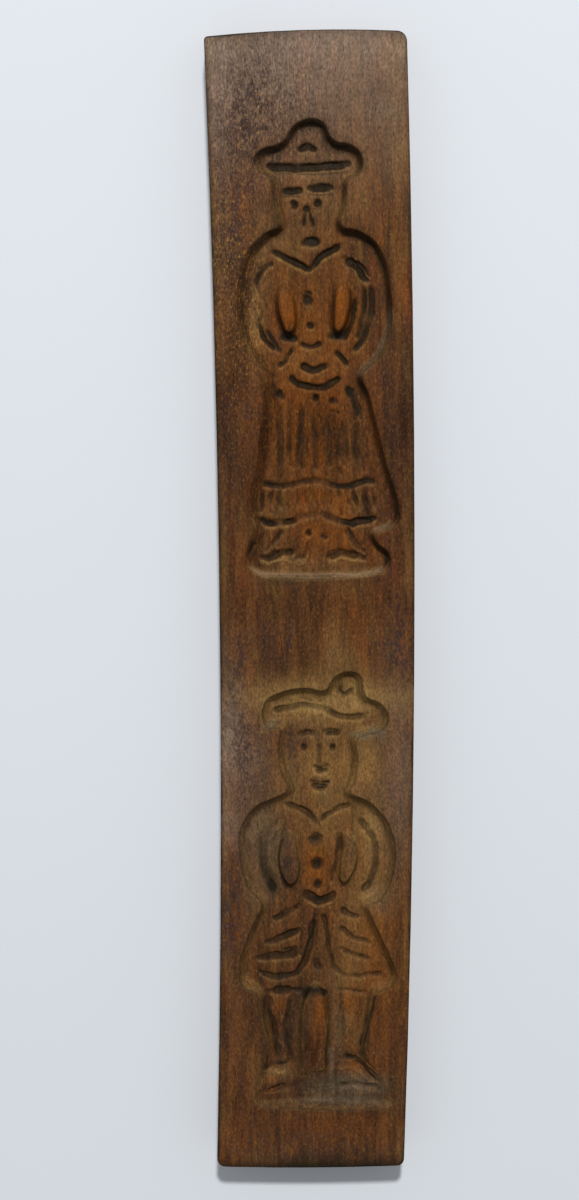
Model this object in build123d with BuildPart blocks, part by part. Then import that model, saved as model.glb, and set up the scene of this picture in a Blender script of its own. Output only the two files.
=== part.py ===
from build123d import *
from math import radians, sqrt, tan
import os

os.makedirs("parts", exist_ok=True)

# The plank lies on its back, carved face up, with the woman's head towards +Y. Sizes are in millimetres.
board_length = 450.0
board_width = 76.0
board_thickness = 20.0
edgewise_bow = 3.6
end_crown = 0.7
top_end_skew = 1.6
top_left_corner = 1.5
top_right_corner = 4.0
bottom_left_corner = 3.5
bottom_right_corner = 3.0
edge_easing = 0.8

# The two hollows: their depths and sloped walls, and the plain wood left round each figure
woman_depth = 5.0
man_depth = 4.5
woman_wall_angle = 18.0
man_wall_angle = 33.0
island_angle = 12.0
island_top_drop = 0.5
arm_island_fall = 2.4
leg_island_fall = 0.3
island_level_share = 0.33
wood_above_woman = 32.5
wood_between_figures = 36.2
wood_below_man = 24.5
man_taller_by = 5.8
woman_left_rim = 9.5
woman_right_rim = 4.0
man_left_rim = 7.4
man_right_rim = 4.2

# Round-nosed gouges and how deep each one bites below the floor of a hollow
faint_width = 1.4
faint_depth = 0.45
fine_width = 1.7
fine_depth = 0.9
medium_width = 2.4
medium_depth = 1.2
broad_width = 3.4
broad_depth = 1.5
gouge_run_out = 0.3
dimple_depth = 1.1
button_depth = 1.0
pleat_depth = 0.55

# Strokes that the ruffle of the woman's skirt is gathered in
ruffle_count = 14

# How much of its shorter run a rounded corner takes up on each side
corner_share = 0.45

# Worked out from the sizes above
woman_floor = board_thickness - woman_depth
man_floor = board_thickness - man_depth
half_length = board_length / 2
half_width = board_width / 2
figure_room = board_length - wood_above_woman - wood_between_figures - wood_below_man
woman_height = (figure_room - man_taller_by) / 2
woman_top = half_length - wood_above_woman
woman_foot = woman_top - woman_height
man_foot = wood_below_man - half_length
man_top = woman_foot - wood_between_figures

# Corners of the woman's outline, clockwise from the crown, drawn from the middle of her ground line
woman_outline = [
    (0, 175.5), (5.5, 174), (8.5, 166.3), (16, 166), (20.5, 161.5), (20, 154.5), (14, 152.8),
    (13.3, 143), (10.5, 135), (18, 134.5), (25, 129.5), (30, 119), (32, 101), (29, 87), (18.5, 78.5),
    (22.5, 71.5), (27.5, 51), (34, 30), (34.5, 21.5), (24, 17.5), (26, 14), (30.5, 11), (30.5, 3.5),
    (22, 1), (0, 0), (-20, 1), (-26, 5), (-25, 12.5), (-22, 19), (-25.5, 27), (-20, 51), (-17.5, 76),
    (-22, 84), (-28, 96), (-28.5, 114), (-24, 127), (-17, 133.5), (-11.5, 135), (-14.2, 145),
    (-14.5, 153), (-20, 156), (-22.5, 160.5), (-18, 165), (-10.5, 166), (-6, 173.5),
]

# The wood left standing between her arms and her body
woman_islands = [
    [(-10.5, 114), (-7, 108), (-6, 99), (-7.5, 95.5), (-9.8, 96), (-12, 103), (-12.3, 110)],
    [(12, 114.5), (14.8, 112), (15, 105), (13, 98), (10.5, 95.8), (9.2, 97), (9.4, 105), (10.5, 112)],
]

woman_faint_lines = [
    [(-1.6, 140.8), (-2.4, 135)],
    [(0.6, 139.2), (0.9, 134.8)],
    [(-6, 7.5), (-3.3, 8.3), (-1.8, 11.7), (-1.2, 15)],
    [(-14, 15.3), (-18.8, 10)],
]

woman_fine_lines = [
    [(-16, 121.3), (-19.1, 118.8), (-21.1, 114.8), (-21.3, 104.7), (-19.1, 94.7), (-14, 88.1)],
    [(20.6, 111.8), (20.5, 100.7), (18.4, 92.6)],
    [(17.4, 108.7), (17, 100.6), (12.6, 92.1)],
    [(-4.5, 91.2), (0.1, 89.2), (4.6, 91.2)],
    [(-7.5, 89.4), (-10, 84.4), (-12.5, 81.9)],
    [(9.6, 88.9), (12.1, 84.9), (14.1, 81.9)],
    [(-12.5, 73.5), (-12, 70)],
    [(-11, 18.9), (-14.6, 14.4)],
]

woman_medium_lines = [
    [(-4.5, 163.7), (-1.2, 165.9), (2.5, 163.7)],
    [(-10.3, 148.4), (-4, 148.2)],
    [(-0.2, 149.6), (7.4, 149.4)],
    [(-14.8, 126.5), (-8, 123), (-0.2, 119)],
    [(11.6, 128.6), (5.1, 125), (0.9, 120.4)],
    [(23.1, 112.7), (23.5, 103.6), (21.2, 94.1), (16.7, 88)],
    [(-4, 82.7), (1.1, 80.7), (7.1, 83)],
    [(-9, 78.4), (-3, 74.9), (3.1, 73.9), (8.1, 75.6), (11.6, 78)],
    [(-20.1, 37.4), (-12, 35.9), (-6, 36.9), (0.1, 38.4), (5.1, 37.7), (10.1, 35.9), (16.1, 36.1),
     (21.2, 37.9), (25.2, 37.2)],
    [(-21.1, 23.8), (-17.6, 21.3), (-10, 21.8), (-4, 24.1), (1.1, 25), (5.1, 24.6), (9.1, 22.8),
     (13.1, 21.3), (17.2, 22.3), (24.2, 22.8)],
    [(13.1, 20), (16.1, 15), (20.2, 10.9)],
    [(6.2, 8.9), (9.1, 8.7), (12.1, 10.1), (15.1, 9.3), (18.9, 8.1)],
    [(-19.8, 8.4), (-16.5, 7.2), (-12, 9.8), (-7, 10.2)],
]

woman_broad_lines = [
    [(-15.5, 157.6), (-5, 156.9), (13.6, 158.1)],
    [(13.1, 122.5), (18.7, 120), (22.2, 114.5)],
    [(14.3, 74.1), (17, 68.8), (18.7, 63.2)],
]

# Short dips with pointed ends: her mouth, and the pleats that fall unevenly from her waist
woman_mouth = [[(-3, 129.7), (3.1, 129.9)]]
woman_pleats = [
    [(-13.1, 66.5), (-14, 42.5)], [(-11.2, 56), (-11.9, 43)], [(-8.3, 62.5), (-9.1, 44)],
    [(-5.4, 58), (-6.2, 43)], [(-3.4, 65), (-3.8, 45.5)], [(-1, 58), (-1.5, 43.5)],
    [(1.3, 68), (1.3, 45.5)], [(4, 67.5), (4.4, 46.5)], [(6.8, 62.5), (7.6, 44)], [(9.8, 63), (11, 43.5)],
    [(13, 61), (14.6, 42.5)], [(16.1, 58), (18.2, 42.5)], [(18.7, 52), (20.7, 40.5)],
]

# Eyes, nose, buttons and the small punched holes: middle and radius
woman_dimples = [
    ((-6, 143.7), 1.5), ((2.7, 144.2), 1.5), ((-1.5, 141.8), 1.4), ((-0.1, 97.8), 1.4),
    ((1.6, 70.6), 1.2), ((8.4, 69.1), 1.1), ((-1, 18), 1.2), ((4.4, 17), 1.2),
]
woman_buttons = [((-1.3, 107.4), 2.4)]

# Ends of the first and last stroke of the ruffle
ruffle_tops = [(-18.6, 35.6), (23.2, 36)]
ruffle_feet = [(-19.6, 26), (25.2, 26)]

# Corners of the man's outline, clockwise from the notch beside his plume, from the middle of his ground line
man_outline = [
    (4.5, 172.6), (8, 178.5), (13.5, 180.8), (19, 179.2), (20.2, 169.8), (27, 168), (30.6, 161.5),
    (27, 155.8), (16.3, 153.8), (18, 145), (16.5, 136), (13.8, 131.8), (22, 128.7), (29.5, 120.5),
    (33.3, 108), (31.5, 95), (26.5, 86.7), (21, 85.5), (27.5, 72), (33.8, 56), (31, 50.5),
    (24.7, 49.2), (22.5, 37), (19.3, 23.5), (26, 14.5), (33.8, 6.5), (32, 0.2), (10, -0.5),
    (-15, 0.3), (-25, 1.2), (-25.3, 10), (-17.5, 23), (-22, 37), (-23, 49.2), (-30, 52), (-30.6, 61),
    (-25, 77), (-20, 86.2), (-26.5, 92), (-30, 105), (-29, 118), (-23.5, 126.5), (-15, 130.4),
    (-9.5, 132.7), (-13.2, 142), (-14.2, 150), (-12.6, 158.4), (-18, 157.4), (-20.8, 163.5),
    (-18.5, 170.5), (-9, 174.2), (-1, 174.3),
]

# The wood left standing between his arms and his body
man_arm_islands = [
    [(-9, 115), (-7, 108), (-6, 100), (-7.3, 95), (-9.8, 93.5), (-12.7, 98.5), (-13.5, 105), (-12.3, 111)],
    [(13.5, 114), (16.3, 110.5), (17, 105), (15.8, 99.5), (12.5, 94.5), (10.6, 95.5), (10.8, 100),
     (11.8, 108)],
]

# The wood left standing between his legs
man_leg_island = [
    (1, 51.5), (3, 49.5), (3.8, 42), (5.2, 33), (4, 25), (4, 17), (0, 16.3), (-5, 17), (-5.5, 30),
    (-5, 42.5), (-1.3, 50),
]

man_faint_lines = [
    [(2.1, 148.4), (2.5, 142.4)],
    [(8.6, 48.7), (14.1, 49.4), (21.7, 48.2)],
    [(10.6, 43.1), (12.1, 35.1), (10.6, 28)],
    [(-18.6, 15.5), (-14, 16.5), (-10.5, 17)],
    [(-8.5, 15.9), (-8.2, 7.9)],
    [(-16.6, 167.9), (-8, 168.4), (-3, 169), (3, 168.2)],
]

man_fine_lines = [
    [(0.2, 140.3), (3.1, 139.4), (6, 140.9)],
    [(-5.5, 154.1), (-2.5, 155.3), (0.4, 154.5)],
    [(4.6, 154.5), (7.6, 155.3), (10.9, 155)],
    [(15.1, 126.2), (9.6, 124.4), (5.1, 121.7), (2.9, 119.4)],
    [(11.4, 114.4), (9.3, 106.4), (7.7, 96.3)],
    [(16.1, 172.9), (12.6, 170.2), (10.1, 171.9), (11.1, 174.5)],
    [(3.6, 81), (5.6, 73), (6.6, 64.9), (8.6, 57.9), (13.1, 54.4), (20.2, 54.9), (27.2, 55.9)],
    [(10.6, 75.9), (15.1, 70.9), (22.2, 69.4)],
    [(11.6, 65.8), (16.1, 63.3), (23.2, 61.8)],
    [(-18.6, 47), (-18.1, 41), (-16, 35), (-15, 25.9), (-14, 19.9)],
    [(-9.5, 46.1), (-11, 39.1), (-12, 33), (-10.5, 26), (-9.8, 17.9)],
    [(15.6, 19.6), (21.2, 15.6), (24.7, 10.6)],
]

man_medium_lines = [
    [(-15.5, 164.6), (-9, 165.8), (-3, 166.4), (3.1, 165.6), (9.1, 162.8), (15.1, 160.9),
     (20.7, 161.6)],
    [(-0.8, 133.5), (2.9, 132.8), (6.1, 133.7)],
    [(-11, 126.2), (-5, 124.2), (-1.5, 121.7), (1.9, 118.2)],
    [(18.2, 120.5), (21.7, 116), (24.7, 110.5), (25.2, 102.4), (23.2, 95.4), (19.2, 89.9)],
    [(-6, 83.9), (-10, 81.9), (-16, 78.6)],
    [(-5.5, 73.9), (-10, 72.6), (-18.6, 68.8)],
    [(-20.6, 56.9), (-16, 54.6), (-9, 55.1), (-5, 58.4), (-2.5, 63.9), (-1, 72), (-0.1, 79)],
    [(11.1, 82.9), (15.1, 80.4), (18.7, 78.9)],
    [(-19.6, 7), (-15, 8.2), (-12, 9.5)],
    [(11.1, 20.3), (16.1, 21)],
    [(10.1, 8.9), (18.2, 9.5), (26.2, 8.4)],
]

man_broad_lines = [
    [(-12.5, 122), (-17, 118.5), (-19.6, 113.5), (-20.1, 105.4), (-18.6, 96.4), (-16, 89.8)],
    [(-4, 89.9), (0.1, 86.9), (3.1, 85.9), (6.1, 87.4), (8.6, 89.4)],
    [(-6, 64.8), (-12, 63.8), (-21.1, 62.8)],
    [(-17, 48.7), (-9, 49)],
]

man_dimples = [
    ((-4, 149), 1.3), ((7.8, 149), 1.3), ((1.6, 93), 1.6), ((1.6, 59.5), 1.8),
]
man_buttons = [((0.6, 111.8), 2.9), ((1.6, 101.2), 2.5)]


def corner_radii(points, closed):
    """The largest arc that each corner's shorter run allows, leaving a little of the run straight."""
    ring = [Vector(*point) for point in points]
    corners = range(len(ring)) if closed else range(1, len(ring) - 1)
    radii = []
    for i in corners:
        run_in = ring[i] - ring[i - 1]
        run_out = ring[(i + 1) % len(ring)] - ring[i]
        half_turn = radians(run_in.get_angle(run_out) / 2)
        radii.append(corner_share * min(run_in.length, run_out.length) / tan(half_turn))
    return radii


def placing(outline, left, right, foot, top):
    """Return a function that sets points drawn round a figure into its own field of the plank."""
    drawn_left = min(x for x, y in outline)
    drawn_foot = min(y for x, y in outline)
    across = (right - left) / (max(x for x, y in outline) - drawn_left)
    along = (top - foot) / (max(y for x, y in outline) - drawn_foot)

    def place(points):
        return [(left + (x - drawn_left) * across, foot + (y - drawn_foot) * along) for x, y in points]

    return place


def inset_ring(points, inset):
    """Move every side of a clockwise ring of corners inwards by the same distance."""
    ring = [Vector(*point) for point in points]
    moved = []
    for i, corner in enumerate(ring):
        run_in = (corner - ring[i - 1]).normalized()
        run_out = (ring[(i + 1) % len(ring)] - corner).normalized()
        inwards = run_in.cross(Vector(0, 0, 1)) + run_out.cross(Vector(0, 0, 1))
        moved.append(corner + inwards * (inset / (1 + run_in.dot(run_out))))
    return [(corner.X, corner.Y) for corner in moved]


def rounded_shape(points, level):
    """A flat face inside a ring of corners, each rounded as far as its runs allow."""
    with BuildSketch(Plane.XY.offset(level)) as shape:
        with BuildLine():
            FilletPolyline(*points, radius=corner_radii(points, True), close=True)
        make_face()
    return shape.sketch


def sloped_block(outline, floor, wall_slope):
    """The block between the face and a floor, its walls leaning inwards on the way down."""
    inset = (board_thickness - floor) * tan(radians(wall_slope))
    at_face = rounded_shape(outline, board_thickness)
    at_floor = rounded_shape(inset_ring(outline, inset), floor)
    return loft([at_face, at_floor], ruled=True, mode=Mode.PRIVATE)


def leave_island(outline, floor, fall):
    """Put back the wood of an island, a little under the face, its top falling towards the head."""
    add(sloped_block(outline, floor, -island_angle))
    spread = (board_thickness - floor) * tan(radians(island_angle))
    left = min(x for x, y in outline) - spread
    right = max(x for x, y in outline) + spread
    foot = min(y for x, y in outline) - spread
    head = max(y for x, y in outline) + spread
    top = board_thickness - island_top_drop
    with BuildSketch(Plane.YZ.offset(left)) as above_top:
        with BuildLine():
            Polyline(
                (foot, top),
                (foot + (head - foot) * island_level_share, top),
                (head, top - fall),
                (head, board_thickness + fall),
                (foot, board_thickness + fall),
                close=True,
            )
        make_face()
    extrude(above_top.sketch, amount=right - left, mode=Mode.SUBTRACT)


def gouge_line(points, floor, width, depth):
    """The round-nosed cut that a gouge makes along a line of points, ramping in and out at its ends."""
    nose = width / 2
    spots = [Vector(x, y, floor - depth + nose) for x, y in points]
    rise = Vector(0, 0, depth + gouge_run_out)
    start, stop = spots[0] + rise, spots[-1] + rise
    spots[0] += (spots[1] - spots[0]).normalized() * rise.Z
    spots[-1] += (spots[-2] - spots[-1]).normalized() * rise.Z
    route = [start, *spots, stop]
    with BuildLine() as path:
        FilletPolyline(*route, radius=corner_radii(route, False))
    with BuildSketch(Plane(origin=path.line @ 0, z_dir=path.line % 0)) as section:
        Circle(nose)
    return sweep(section.sketch, path=path.line, mode=Mode.PRIVATE)


def gouge_stroke(start, end, floor, width, depth):
    """One long dip into the floor and out again, pointed at both ends."""
    nose = width / 2
    low = Vector(0, 0, floor - depth + nose)
    rise = Vector(0, 0, depth + gouge_run_out)
    middle = (Vector(*start) + Vector(*end)) / 2
    reach = (Vector(*end) - middle) * sqrt(rise.Z / depth)
    with BuildLine() as path:
        ThreePointArc(middle - reach + low + rise, middle + low, middle + reach + low + rise)
    with BuildSketch(Plane(origin=path.line @ 0, z_dir=path.line % 0)) as section:
        Circle(nose)
    return sweep(section.sketch, path=path.line, mode=Mode.PRIVATE)


def dimple(centre, radius, floor, depth):
    """A shallow round bowl that is pressed into the floor."""
    with BuildSketch(Plane.XZ) as section:
        with BuildLine():
            Polyline((0, -depth), (0, gouge_run_out), (radius, gouge_run_out), (radius, 0))
            RadiusArc((radius, 0), (0, -depth), (radius**2 + depth**2) / (2 * depth))
        make_face()
    bowl = revolve(section.sketch, axis=Axis.Z, mode=Mode.PRIVATE)
    return bowl.moved(Location((*centre, floor)))


def between(first, last, share):
    """The point a given share of the way from first to last."""
    return tuple(a + (b - a) * share for a, b in zip(first, last))


def fan(tops, feet, count):
    """The ends of a row of strokes that fan out from a line of tops to a line of feet."""
    shares = [i / (count - 1) for i in range(count)]
    return [(between(*tops, share), between(*feet, share)) for share in shares]


place_woman = placing(
    woman_outline, woman_left_rim - half_width, half_width - woman_right_rim, woman_foot, woman_top
)
place_man = placing(man_outline, man_left_rim - half_width, half_width - man_right_rim, man_foot, man_top)

with BuildPart() as mold_board:
    with BuildSketch() as plan:
        with BuildLine():
            left_edge = ThreePointArc(
                (-half_width - edgewise_bow / 2, -half_length + end_crown),
                (-half_width + edgewise_bow / 2, 0),
                (-half_width - edgewise_bow / 2, half_length - end_crown - top_end_skew),
            )
            right_edge = ThreePointArc(
                (half_width - edgewise_bow / 2, half_length - end_crown),
                (half_width + edgewise_bow / 2, 0),
                (half_width - edgewise_bow / 2, -half_length + end_crown),
            )
            ThreePointArc(left_edge @ 1, (0, half_length), right_edge @ 0)
            ThreePointArc(right_edge @ 1, (0, -half_length), left_edge @ 0)
        make_face()
        for corner, radius in (
            ((-half_width, -half_length), bottom_left_corner),
            ((half_width, -half_length), bottom_right_corner),
            ((-half_width, half_length), top_left_corner),
            ((half_width, half_length), top_right_corner),
        ):
            fillet(plan.vertices().sort_by_distance(corner)[0], radius=radius)
    extrude(amount=board_thickness)
    back, face = mold_board.faces().sort_by(Axis.Z)[0], mold_board.faces().sort_by(Axis.Z)[-1]
    fillet(back.edges() + face.edges(), radius=edge_easing)

    add(sloped_block(place_woman(woman_outline), woman_floor, woman_wall_angle), mode=Mode.SUBTRACT)
    add(sloped_block(place_man(man_outline), man_floor, man_wall_angle), mode=Mode.SUBTRACT)
    for outline in woman_islands:
        leave_island(place_woman(outline), woman_floor, arm_island_fall)
    for outline in man_arm_islands:
        leave_island(place_man(outline), man_floor, arm_island_fall)
    leave_island(place_man(man_leg_island), man_floor, leg_island_fall)

    for place, floor, lines, width, depth in (
        (place_woman, woman_floor, woman_faint_lines, faint_width, faint_depth),
        (place_woman, woman_floor, woman_fine_lines, fine_width, fine_depth),
        (place_woman, woman_floor, woman_medium_lines, medium_width, medium_depth),
        (place_woman, woman_floor, woman_broad_lines, broad_width, broad_depth),
        (place_man, man_floor, man_faint_lines, faint_width, faint_depth),
        (place_man, man_floor, man_fine_lines, fine_width, fine_depth),
        (place_man, man_floor, man_medium_lines, medium_width, medium_depth),
        (place_man, man_floor, man_broad_lines, broad_width, broad_depth),
    ):
        add([gouge_line(place(line), floor, width, depth) for line in lines], mode=Mode.SUBTRACT)

    ruffle = fan(ruffle_tops, ruffle_feet, ruffle_count)
    for strokes, width, depth in (
        (woman_mouth, broad_width, broad_depth),
        (woman_pleats, fine_width, pleat_depth),
        (ruffle, fine_width, fine_depth),
    ):
        dips = [gouge_stroke(*place_woman(stroke), woman_floor, width, depth) for stroke in strokes]
        add(dips, mode=Mode.SUBTRACT)

    for place, floor, dimples, depth in (
        (place_woman, woman_floor, woman_dimples, dimple_depth),
        (place_woman, woman_floor, woman_buttons, button_depth),
        (place_man, man_floor, man_dimples, dimple_depth),
        (place_man, man_floor, man_buttons, button_depth),
    ):
        bowls = [dimple(place([centre])[0], radius, floor, depth) for centre, radius in dimples]
        add(bowls, mode=Mode.SUBTRACT)

mold_board.part.label = "mold_board"
export_step(mold_board.part, "parts/mold_board.step")
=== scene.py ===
"""Dress the carved two-figure cookie mold: a worn, stained plank on a pale studio floor."""
import logging
import math
from dataclasses import dataclass, field
from enum import Enum

import bmesh
import bpy
import numpy as np
from mathutils import Matrix, Vector
from mathutils.bvhtree import BVHTree


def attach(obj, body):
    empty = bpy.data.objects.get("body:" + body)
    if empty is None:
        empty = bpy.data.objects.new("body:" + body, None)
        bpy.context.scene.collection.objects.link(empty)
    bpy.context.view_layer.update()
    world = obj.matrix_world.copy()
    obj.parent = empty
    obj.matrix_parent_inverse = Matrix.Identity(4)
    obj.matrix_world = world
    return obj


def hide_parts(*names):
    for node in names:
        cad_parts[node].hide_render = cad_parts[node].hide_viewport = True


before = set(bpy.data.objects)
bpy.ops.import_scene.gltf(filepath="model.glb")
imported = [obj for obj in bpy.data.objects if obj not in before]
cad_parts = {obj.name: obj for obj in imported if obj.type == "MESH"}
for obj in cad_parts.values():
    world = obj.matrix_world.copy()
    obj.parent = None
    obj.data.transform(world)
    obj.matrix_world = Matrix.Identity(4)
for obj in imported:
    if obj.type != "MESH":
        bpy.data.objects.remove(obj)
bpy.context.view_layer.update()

MM = 0.001
log = logging.getLogger("cookie_mold")

Point = tuple[float, float]
Pair = tuple[float, float]
Band = tuple[float, float]
Row = tuple[float, ...]
Stroke = tuple[float | Point, ...]
Colour = tuple[float, float, float, float]
Socket = bpy.types.NodeSocket


def screen_colour(red: int, green: int, blue: int) -> Colour:
    """Turn a colour as it looks on a screen into the linear one that shaders take.

    Args:
        red: Red from 0 to 255.
        green: Green from 0 to 255.
        blue: Blue from 0 to 255.

    Returns:
        The linear colour with an alpha of 1.
    """
    shares = [channel / 255 for channel in (red, green, blue)]
    linear = [s / 12.92 if s <= 0.04045 else ((s + 0.055) / 1.055) ** 2.4 for s in shares]
    return (*linear, 1.0)


class NodeBench:
    """Puts nodes into one tree and joins them up."""

    def __init__(self, tree: bpy.types.NodeTree) -> None:
        """Start on an empty tree."""
        self.tree = tree
        tree.nodes.clear()

    def feed(self, socket: Socket, value: object) -> None:
        """Link another node's output to a socket, or set a plain value on it.

        Args:
            socket: The socket that takes the value.
            value: An output socket or a plain value.
        """
        if isinstance(value, Socket):
            self.tree.links.new(value, socket)
        else:
            socket.default_value = value

    def add(self, kind: str, inputs: dict | None = None, **settings: object) -> bpy.types.Node:
        """Add a node.

        Args:
            kind: Blender's name for the type of node.
            inputs: Values or output sockets, by the input's name or number.
            **settings: Properties to set on the node before its inputs.

        Returns:
            The new node.
        """
        node = self.tree.nodes.new(kind)
        for name, value in settings.items():
            setattr(node, name, value)
        for key, value in (inputs or {}).items():
            self.feed(node.inputs[key], value)
        return node

    def result(self, kind: str, inputs: dict | None = None, **settings: object) -> Socket:
        """Add a node and return its first output."""
        return self.add(kind, inputs, **settings).outputs[0]

    def math(self, operation: str, a: object, b: object, c: object = 0.0, clamp: bool = False) -> Socket:
        """Work out one sum of two or three numbers and return the socket that holds it."""
        return self.result("ShaderNodeMath", {0: a, 1: b, 2: c}, operation=operation, use_clamp=clamp)

    def product(self, a: object, b: object, clamp: bool = False) -> Socket:
        """Multiply two numbers and return the socket that holds the result."""
        return self.math("MULTIPLY", a, b, clamp=clamp)


class ShaderBench(NodeBench):
    """Puts together the few kinds of shader node that the finishes are mixed from."""

    def mix(self, share: object, under: object, over: object, blend: str = "MIX") -> Socket:
        """Lay a share, from 0 to 1, of one colour over another and return the socket of the mix."""
        node = self.add("ShaderNodeMix", {0: share, 6: under, 7: over}, data_type="RGBA", blend_type=blend)
        return node.outputs[2]

    def spread(
        self, value: object, low: float, high: float, first: float = 0.0, last: float = 1.0
    ) -> Socket:
        """Turn low to high smoothly into first to last, cut off at both ends, and return the socket."""
        inputs = {0: value, 1: low, 2: high, 3: first, 4: last}
        return self.result("ShaderNodeMapRange", inputs, clamp=True, interpolation_type="SMOOTHSTEP")

    def painted(self, name: str) -> Socket:
        """A number that the board's mesh carries at each of its points."""
        return self.add("ShaderNodeAttribute", attribute_name=name).outputs["Fac"]


@dataclass(frozen=True)
class Grain:
    """One layer of noise that is drawn out along the plank, as wood grain is."""

    squeeze: float
    scale: float
    detail: float
    roughness: float

    def lay(self, bench: ShaderBench, place: Socket) -> Socket:
        """Add the layer's nodes.

        Args:
            bench: The bench that the finish is mixed on.
            place: The plank's coordinates.

        Returns:
            The socket that holds the noise, a number near 0.5.
        """
        squeezed = {"Vector": place, "Scale": (1.0, self.squeeze, 1.0)}
        inputs = {"Vector": bench.result("ShaderNodeMapping", squeezed), "Scale": self.scale}
        inputs |= {"Detail": self.detail, "Roughness": self.roughness}
        return bench.result("ShaderNodeTexNoise", inputs)


WOOD_GRAINS = {
    "fibre": Grain(0.45, 1500, 2, 0.6),
    "streak": Grain(0.2, 700, 3, 0.65),
    "fleck": Grain(0.55, 1150, 4, 0.75),
    "band": Grain(0.1, 260, 4, 0.7),
    "hue": Grain(0.2, 190, 5, 0.7),
    "rust": Grain(0.14, 140, 4, 0.7),
    "pore": Grain(0.2, 2100, 2, 0.5),
    "mottle": Grain(0.6, 420, 5, 0.75),
    "cloud": Grain(0.4, 90, 3, 0.6),
}


@dataclass(frozen=True)
class StainedWood:
    """Close-grained hardwood under an old brown stain, smoky on the left and warm where it is worn, with
    painted glare, painted highlights and painted shade mixed into its colour.
    """

    name: str = "stained_wood"
    stain: Colour = screen_colour(106, 66, 33)
    dark_grain: Colour = screen_colour(68, 43, 25)
    olive: Colour = screen_colour(98, 72, 36)
    plum: Colour = screen_colour(74, 44, 38)
    russet: Colour = screen_colour(124, 64, 26)
    amber: Colour = screen_colour(124, 66, 10)
    ochre: Colour = screen_colour(166, 118, 54)
    smoke: Colour = screen_colour(58, 44, 43)
    # Pale wear, also used as painted highlight on lit walls and cut edges
    straw: Colour = screen_colour(144, 112, 66)
    # Pale grey painted glare: stands in for the lamp's glare over the top end and for light on lit walls
    painted_glare: Colour = screen_colour(154, 134, 118)
    # Ashen grey, also used as painted highlight on lit lower walls
    ash: Colour = screen_colour(110, 103, 84)
    # Dark colour of soiling and painted shade, also used for the open pores
    grime_and_shade: Colour = screen_colour(32, 28, 20)
    umber: Colour = screen_colour(48, 26, 12)
    least_coarseness: float = 0.62
    grain_height: float = 0.15 * MM
    gloss: float = 0.05

    def build(self) -> bpy.types.Material:
        """Mix the finish from grain, stain patches, soiling and painted shade in the cuts, painted glare
        and highlights, and wear on the edges.

        Returns:
            The wood material.
        """
        material = bpy.data.materials.new(self.name)
        material.use_nodes = True
        bench = ShaderBench(material.node_tree)
        place = bench.add("ShaderNodeTexCoord").outputs["Object"]
        grain = {name: layer.lay(bench, place) for name, layer in WOOD_GRAINS.items()}
        colour = self.stained(bench, self.bare(bench, grain), grain)
        colour = self.worn(bench, colour, grain)
        height = bench.math("ADD", bench.product(grain["fibre"], 0.6), bench.product(grain["streak"], 0.5))
        relief = {"Strength": 0.5, "Distance": self.grain_height, "Height": height}
        inputs = {
            "Base Color": colour,
            "Roughness": bench.spread(grain["mottle"], 0.3, 0.7, 0.5, 0.66),
            "Normal": bench.result("ShaderNodeBump", relief),
            "Specular IOR Level": self.gloss,
        }
        bench.add("ShaderNodeOutputMaterial", {0: bench.result("ShaderNodeBsdfPrincipled", inputs)})
        return material

    def bare(self, bench: ShaderBench, grain: dict[str, Socket]) -> Socket:
        """Mix the wood itself: light and dark bands with olive, plum and russet in them.

        Args:
            bench: The bench that the finish is mixed on.
            grain: The layers of grain by name.

        Returns:
            The colour of the wood.
        """
        colour = bench.mix(bench.spread(grain["band"], 0.34, 0.66), self.dark_grain, self.stain)
        colour = bench.mix(bench.spread(grain["hue"], 0.52, 0.68, 0.0, 0.7), colour, self.olive)
        colour = bench.mix(bench.spread(grain["hue"], 0.47, 0.33, 0.0, 0.5), colour, self.plum)
        return bench.mix(bench.spread(grain["rust"], 0.5, 0.68, 0.0, 0.42), colour, self.russet)

    def stained(self, bench: ShaderBench, colour: Socket, grain: dict[str, Socket]) -> Socket:
        """Lay the painted stains, the painted glare and the painted highlights and shade over the wood,
        most of them broken up by its grain.

        Args:
            bench: The bench that the finish is mixed on.
            colour: The colour so far.
            grain: The layers of grain by name.

        Returns:
            The stained colour.
        """
        # Pale wear, and painted highlight on lit walls, cut edges and in his mouth
        pale = bench.product(bench.painted("straw"), bench.spread(grain["cloud"], 0.25, 0.65, 0.65, 1.0))
        colour = bench.mix(pale, colour, self.straw)
        warm = bench.product(bench.painted("amber"), bench.spread(grain["band"], 0.3, 0.6, 0.6, 1.0))
        colour = bench.mix(warm, colour, self.amber)
        # Ashen grey, with painted highlight on some lit lower walls
        colour = bench.mix(bench.painted("ash"), colour, self.ash)
        # Lay the painted glare, a pale wash of light
        colour = bench.mix(bench.painted("painted_glare"), colour, self.painted_glare)
        smoky = bench.product(bench.painted("smoke"), bench.spread(grain["mottle"], 0.38, 0.6, 0.15, 1.0))
        colour = bench.mix(smoky, colour, self.smoke)
        # Umber stain, which also lays painted shade along her steep walls
        burnt = bench.product(bench.painted("umber"), bench.spread(grain["band"], 0.3, 0.65, 1.0, 0.6))
        return bench.mix(burnt, colour, self.umber)

    def worn(self, bench: ShaderBench, colour: Socket, grain: dict[str, Socket]) -> Socket:
        """Add the pale flecks, the fibres, the open pores, and the soiling and painted shade.

        Args:
            bench: The bench that the finish is mixed on.
            colour: The colour so far.
            grain: The layers of grain by name.

        Returns:
            The finished colour.
        """
        rubbed = bench.math("ADD", bench.product(bench.painted("rubbed"), 0.8), 0.24)
        glint = bench.product(bench.spread(grain["fleck"], 0.52, 0.68), rubbed)
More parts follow.
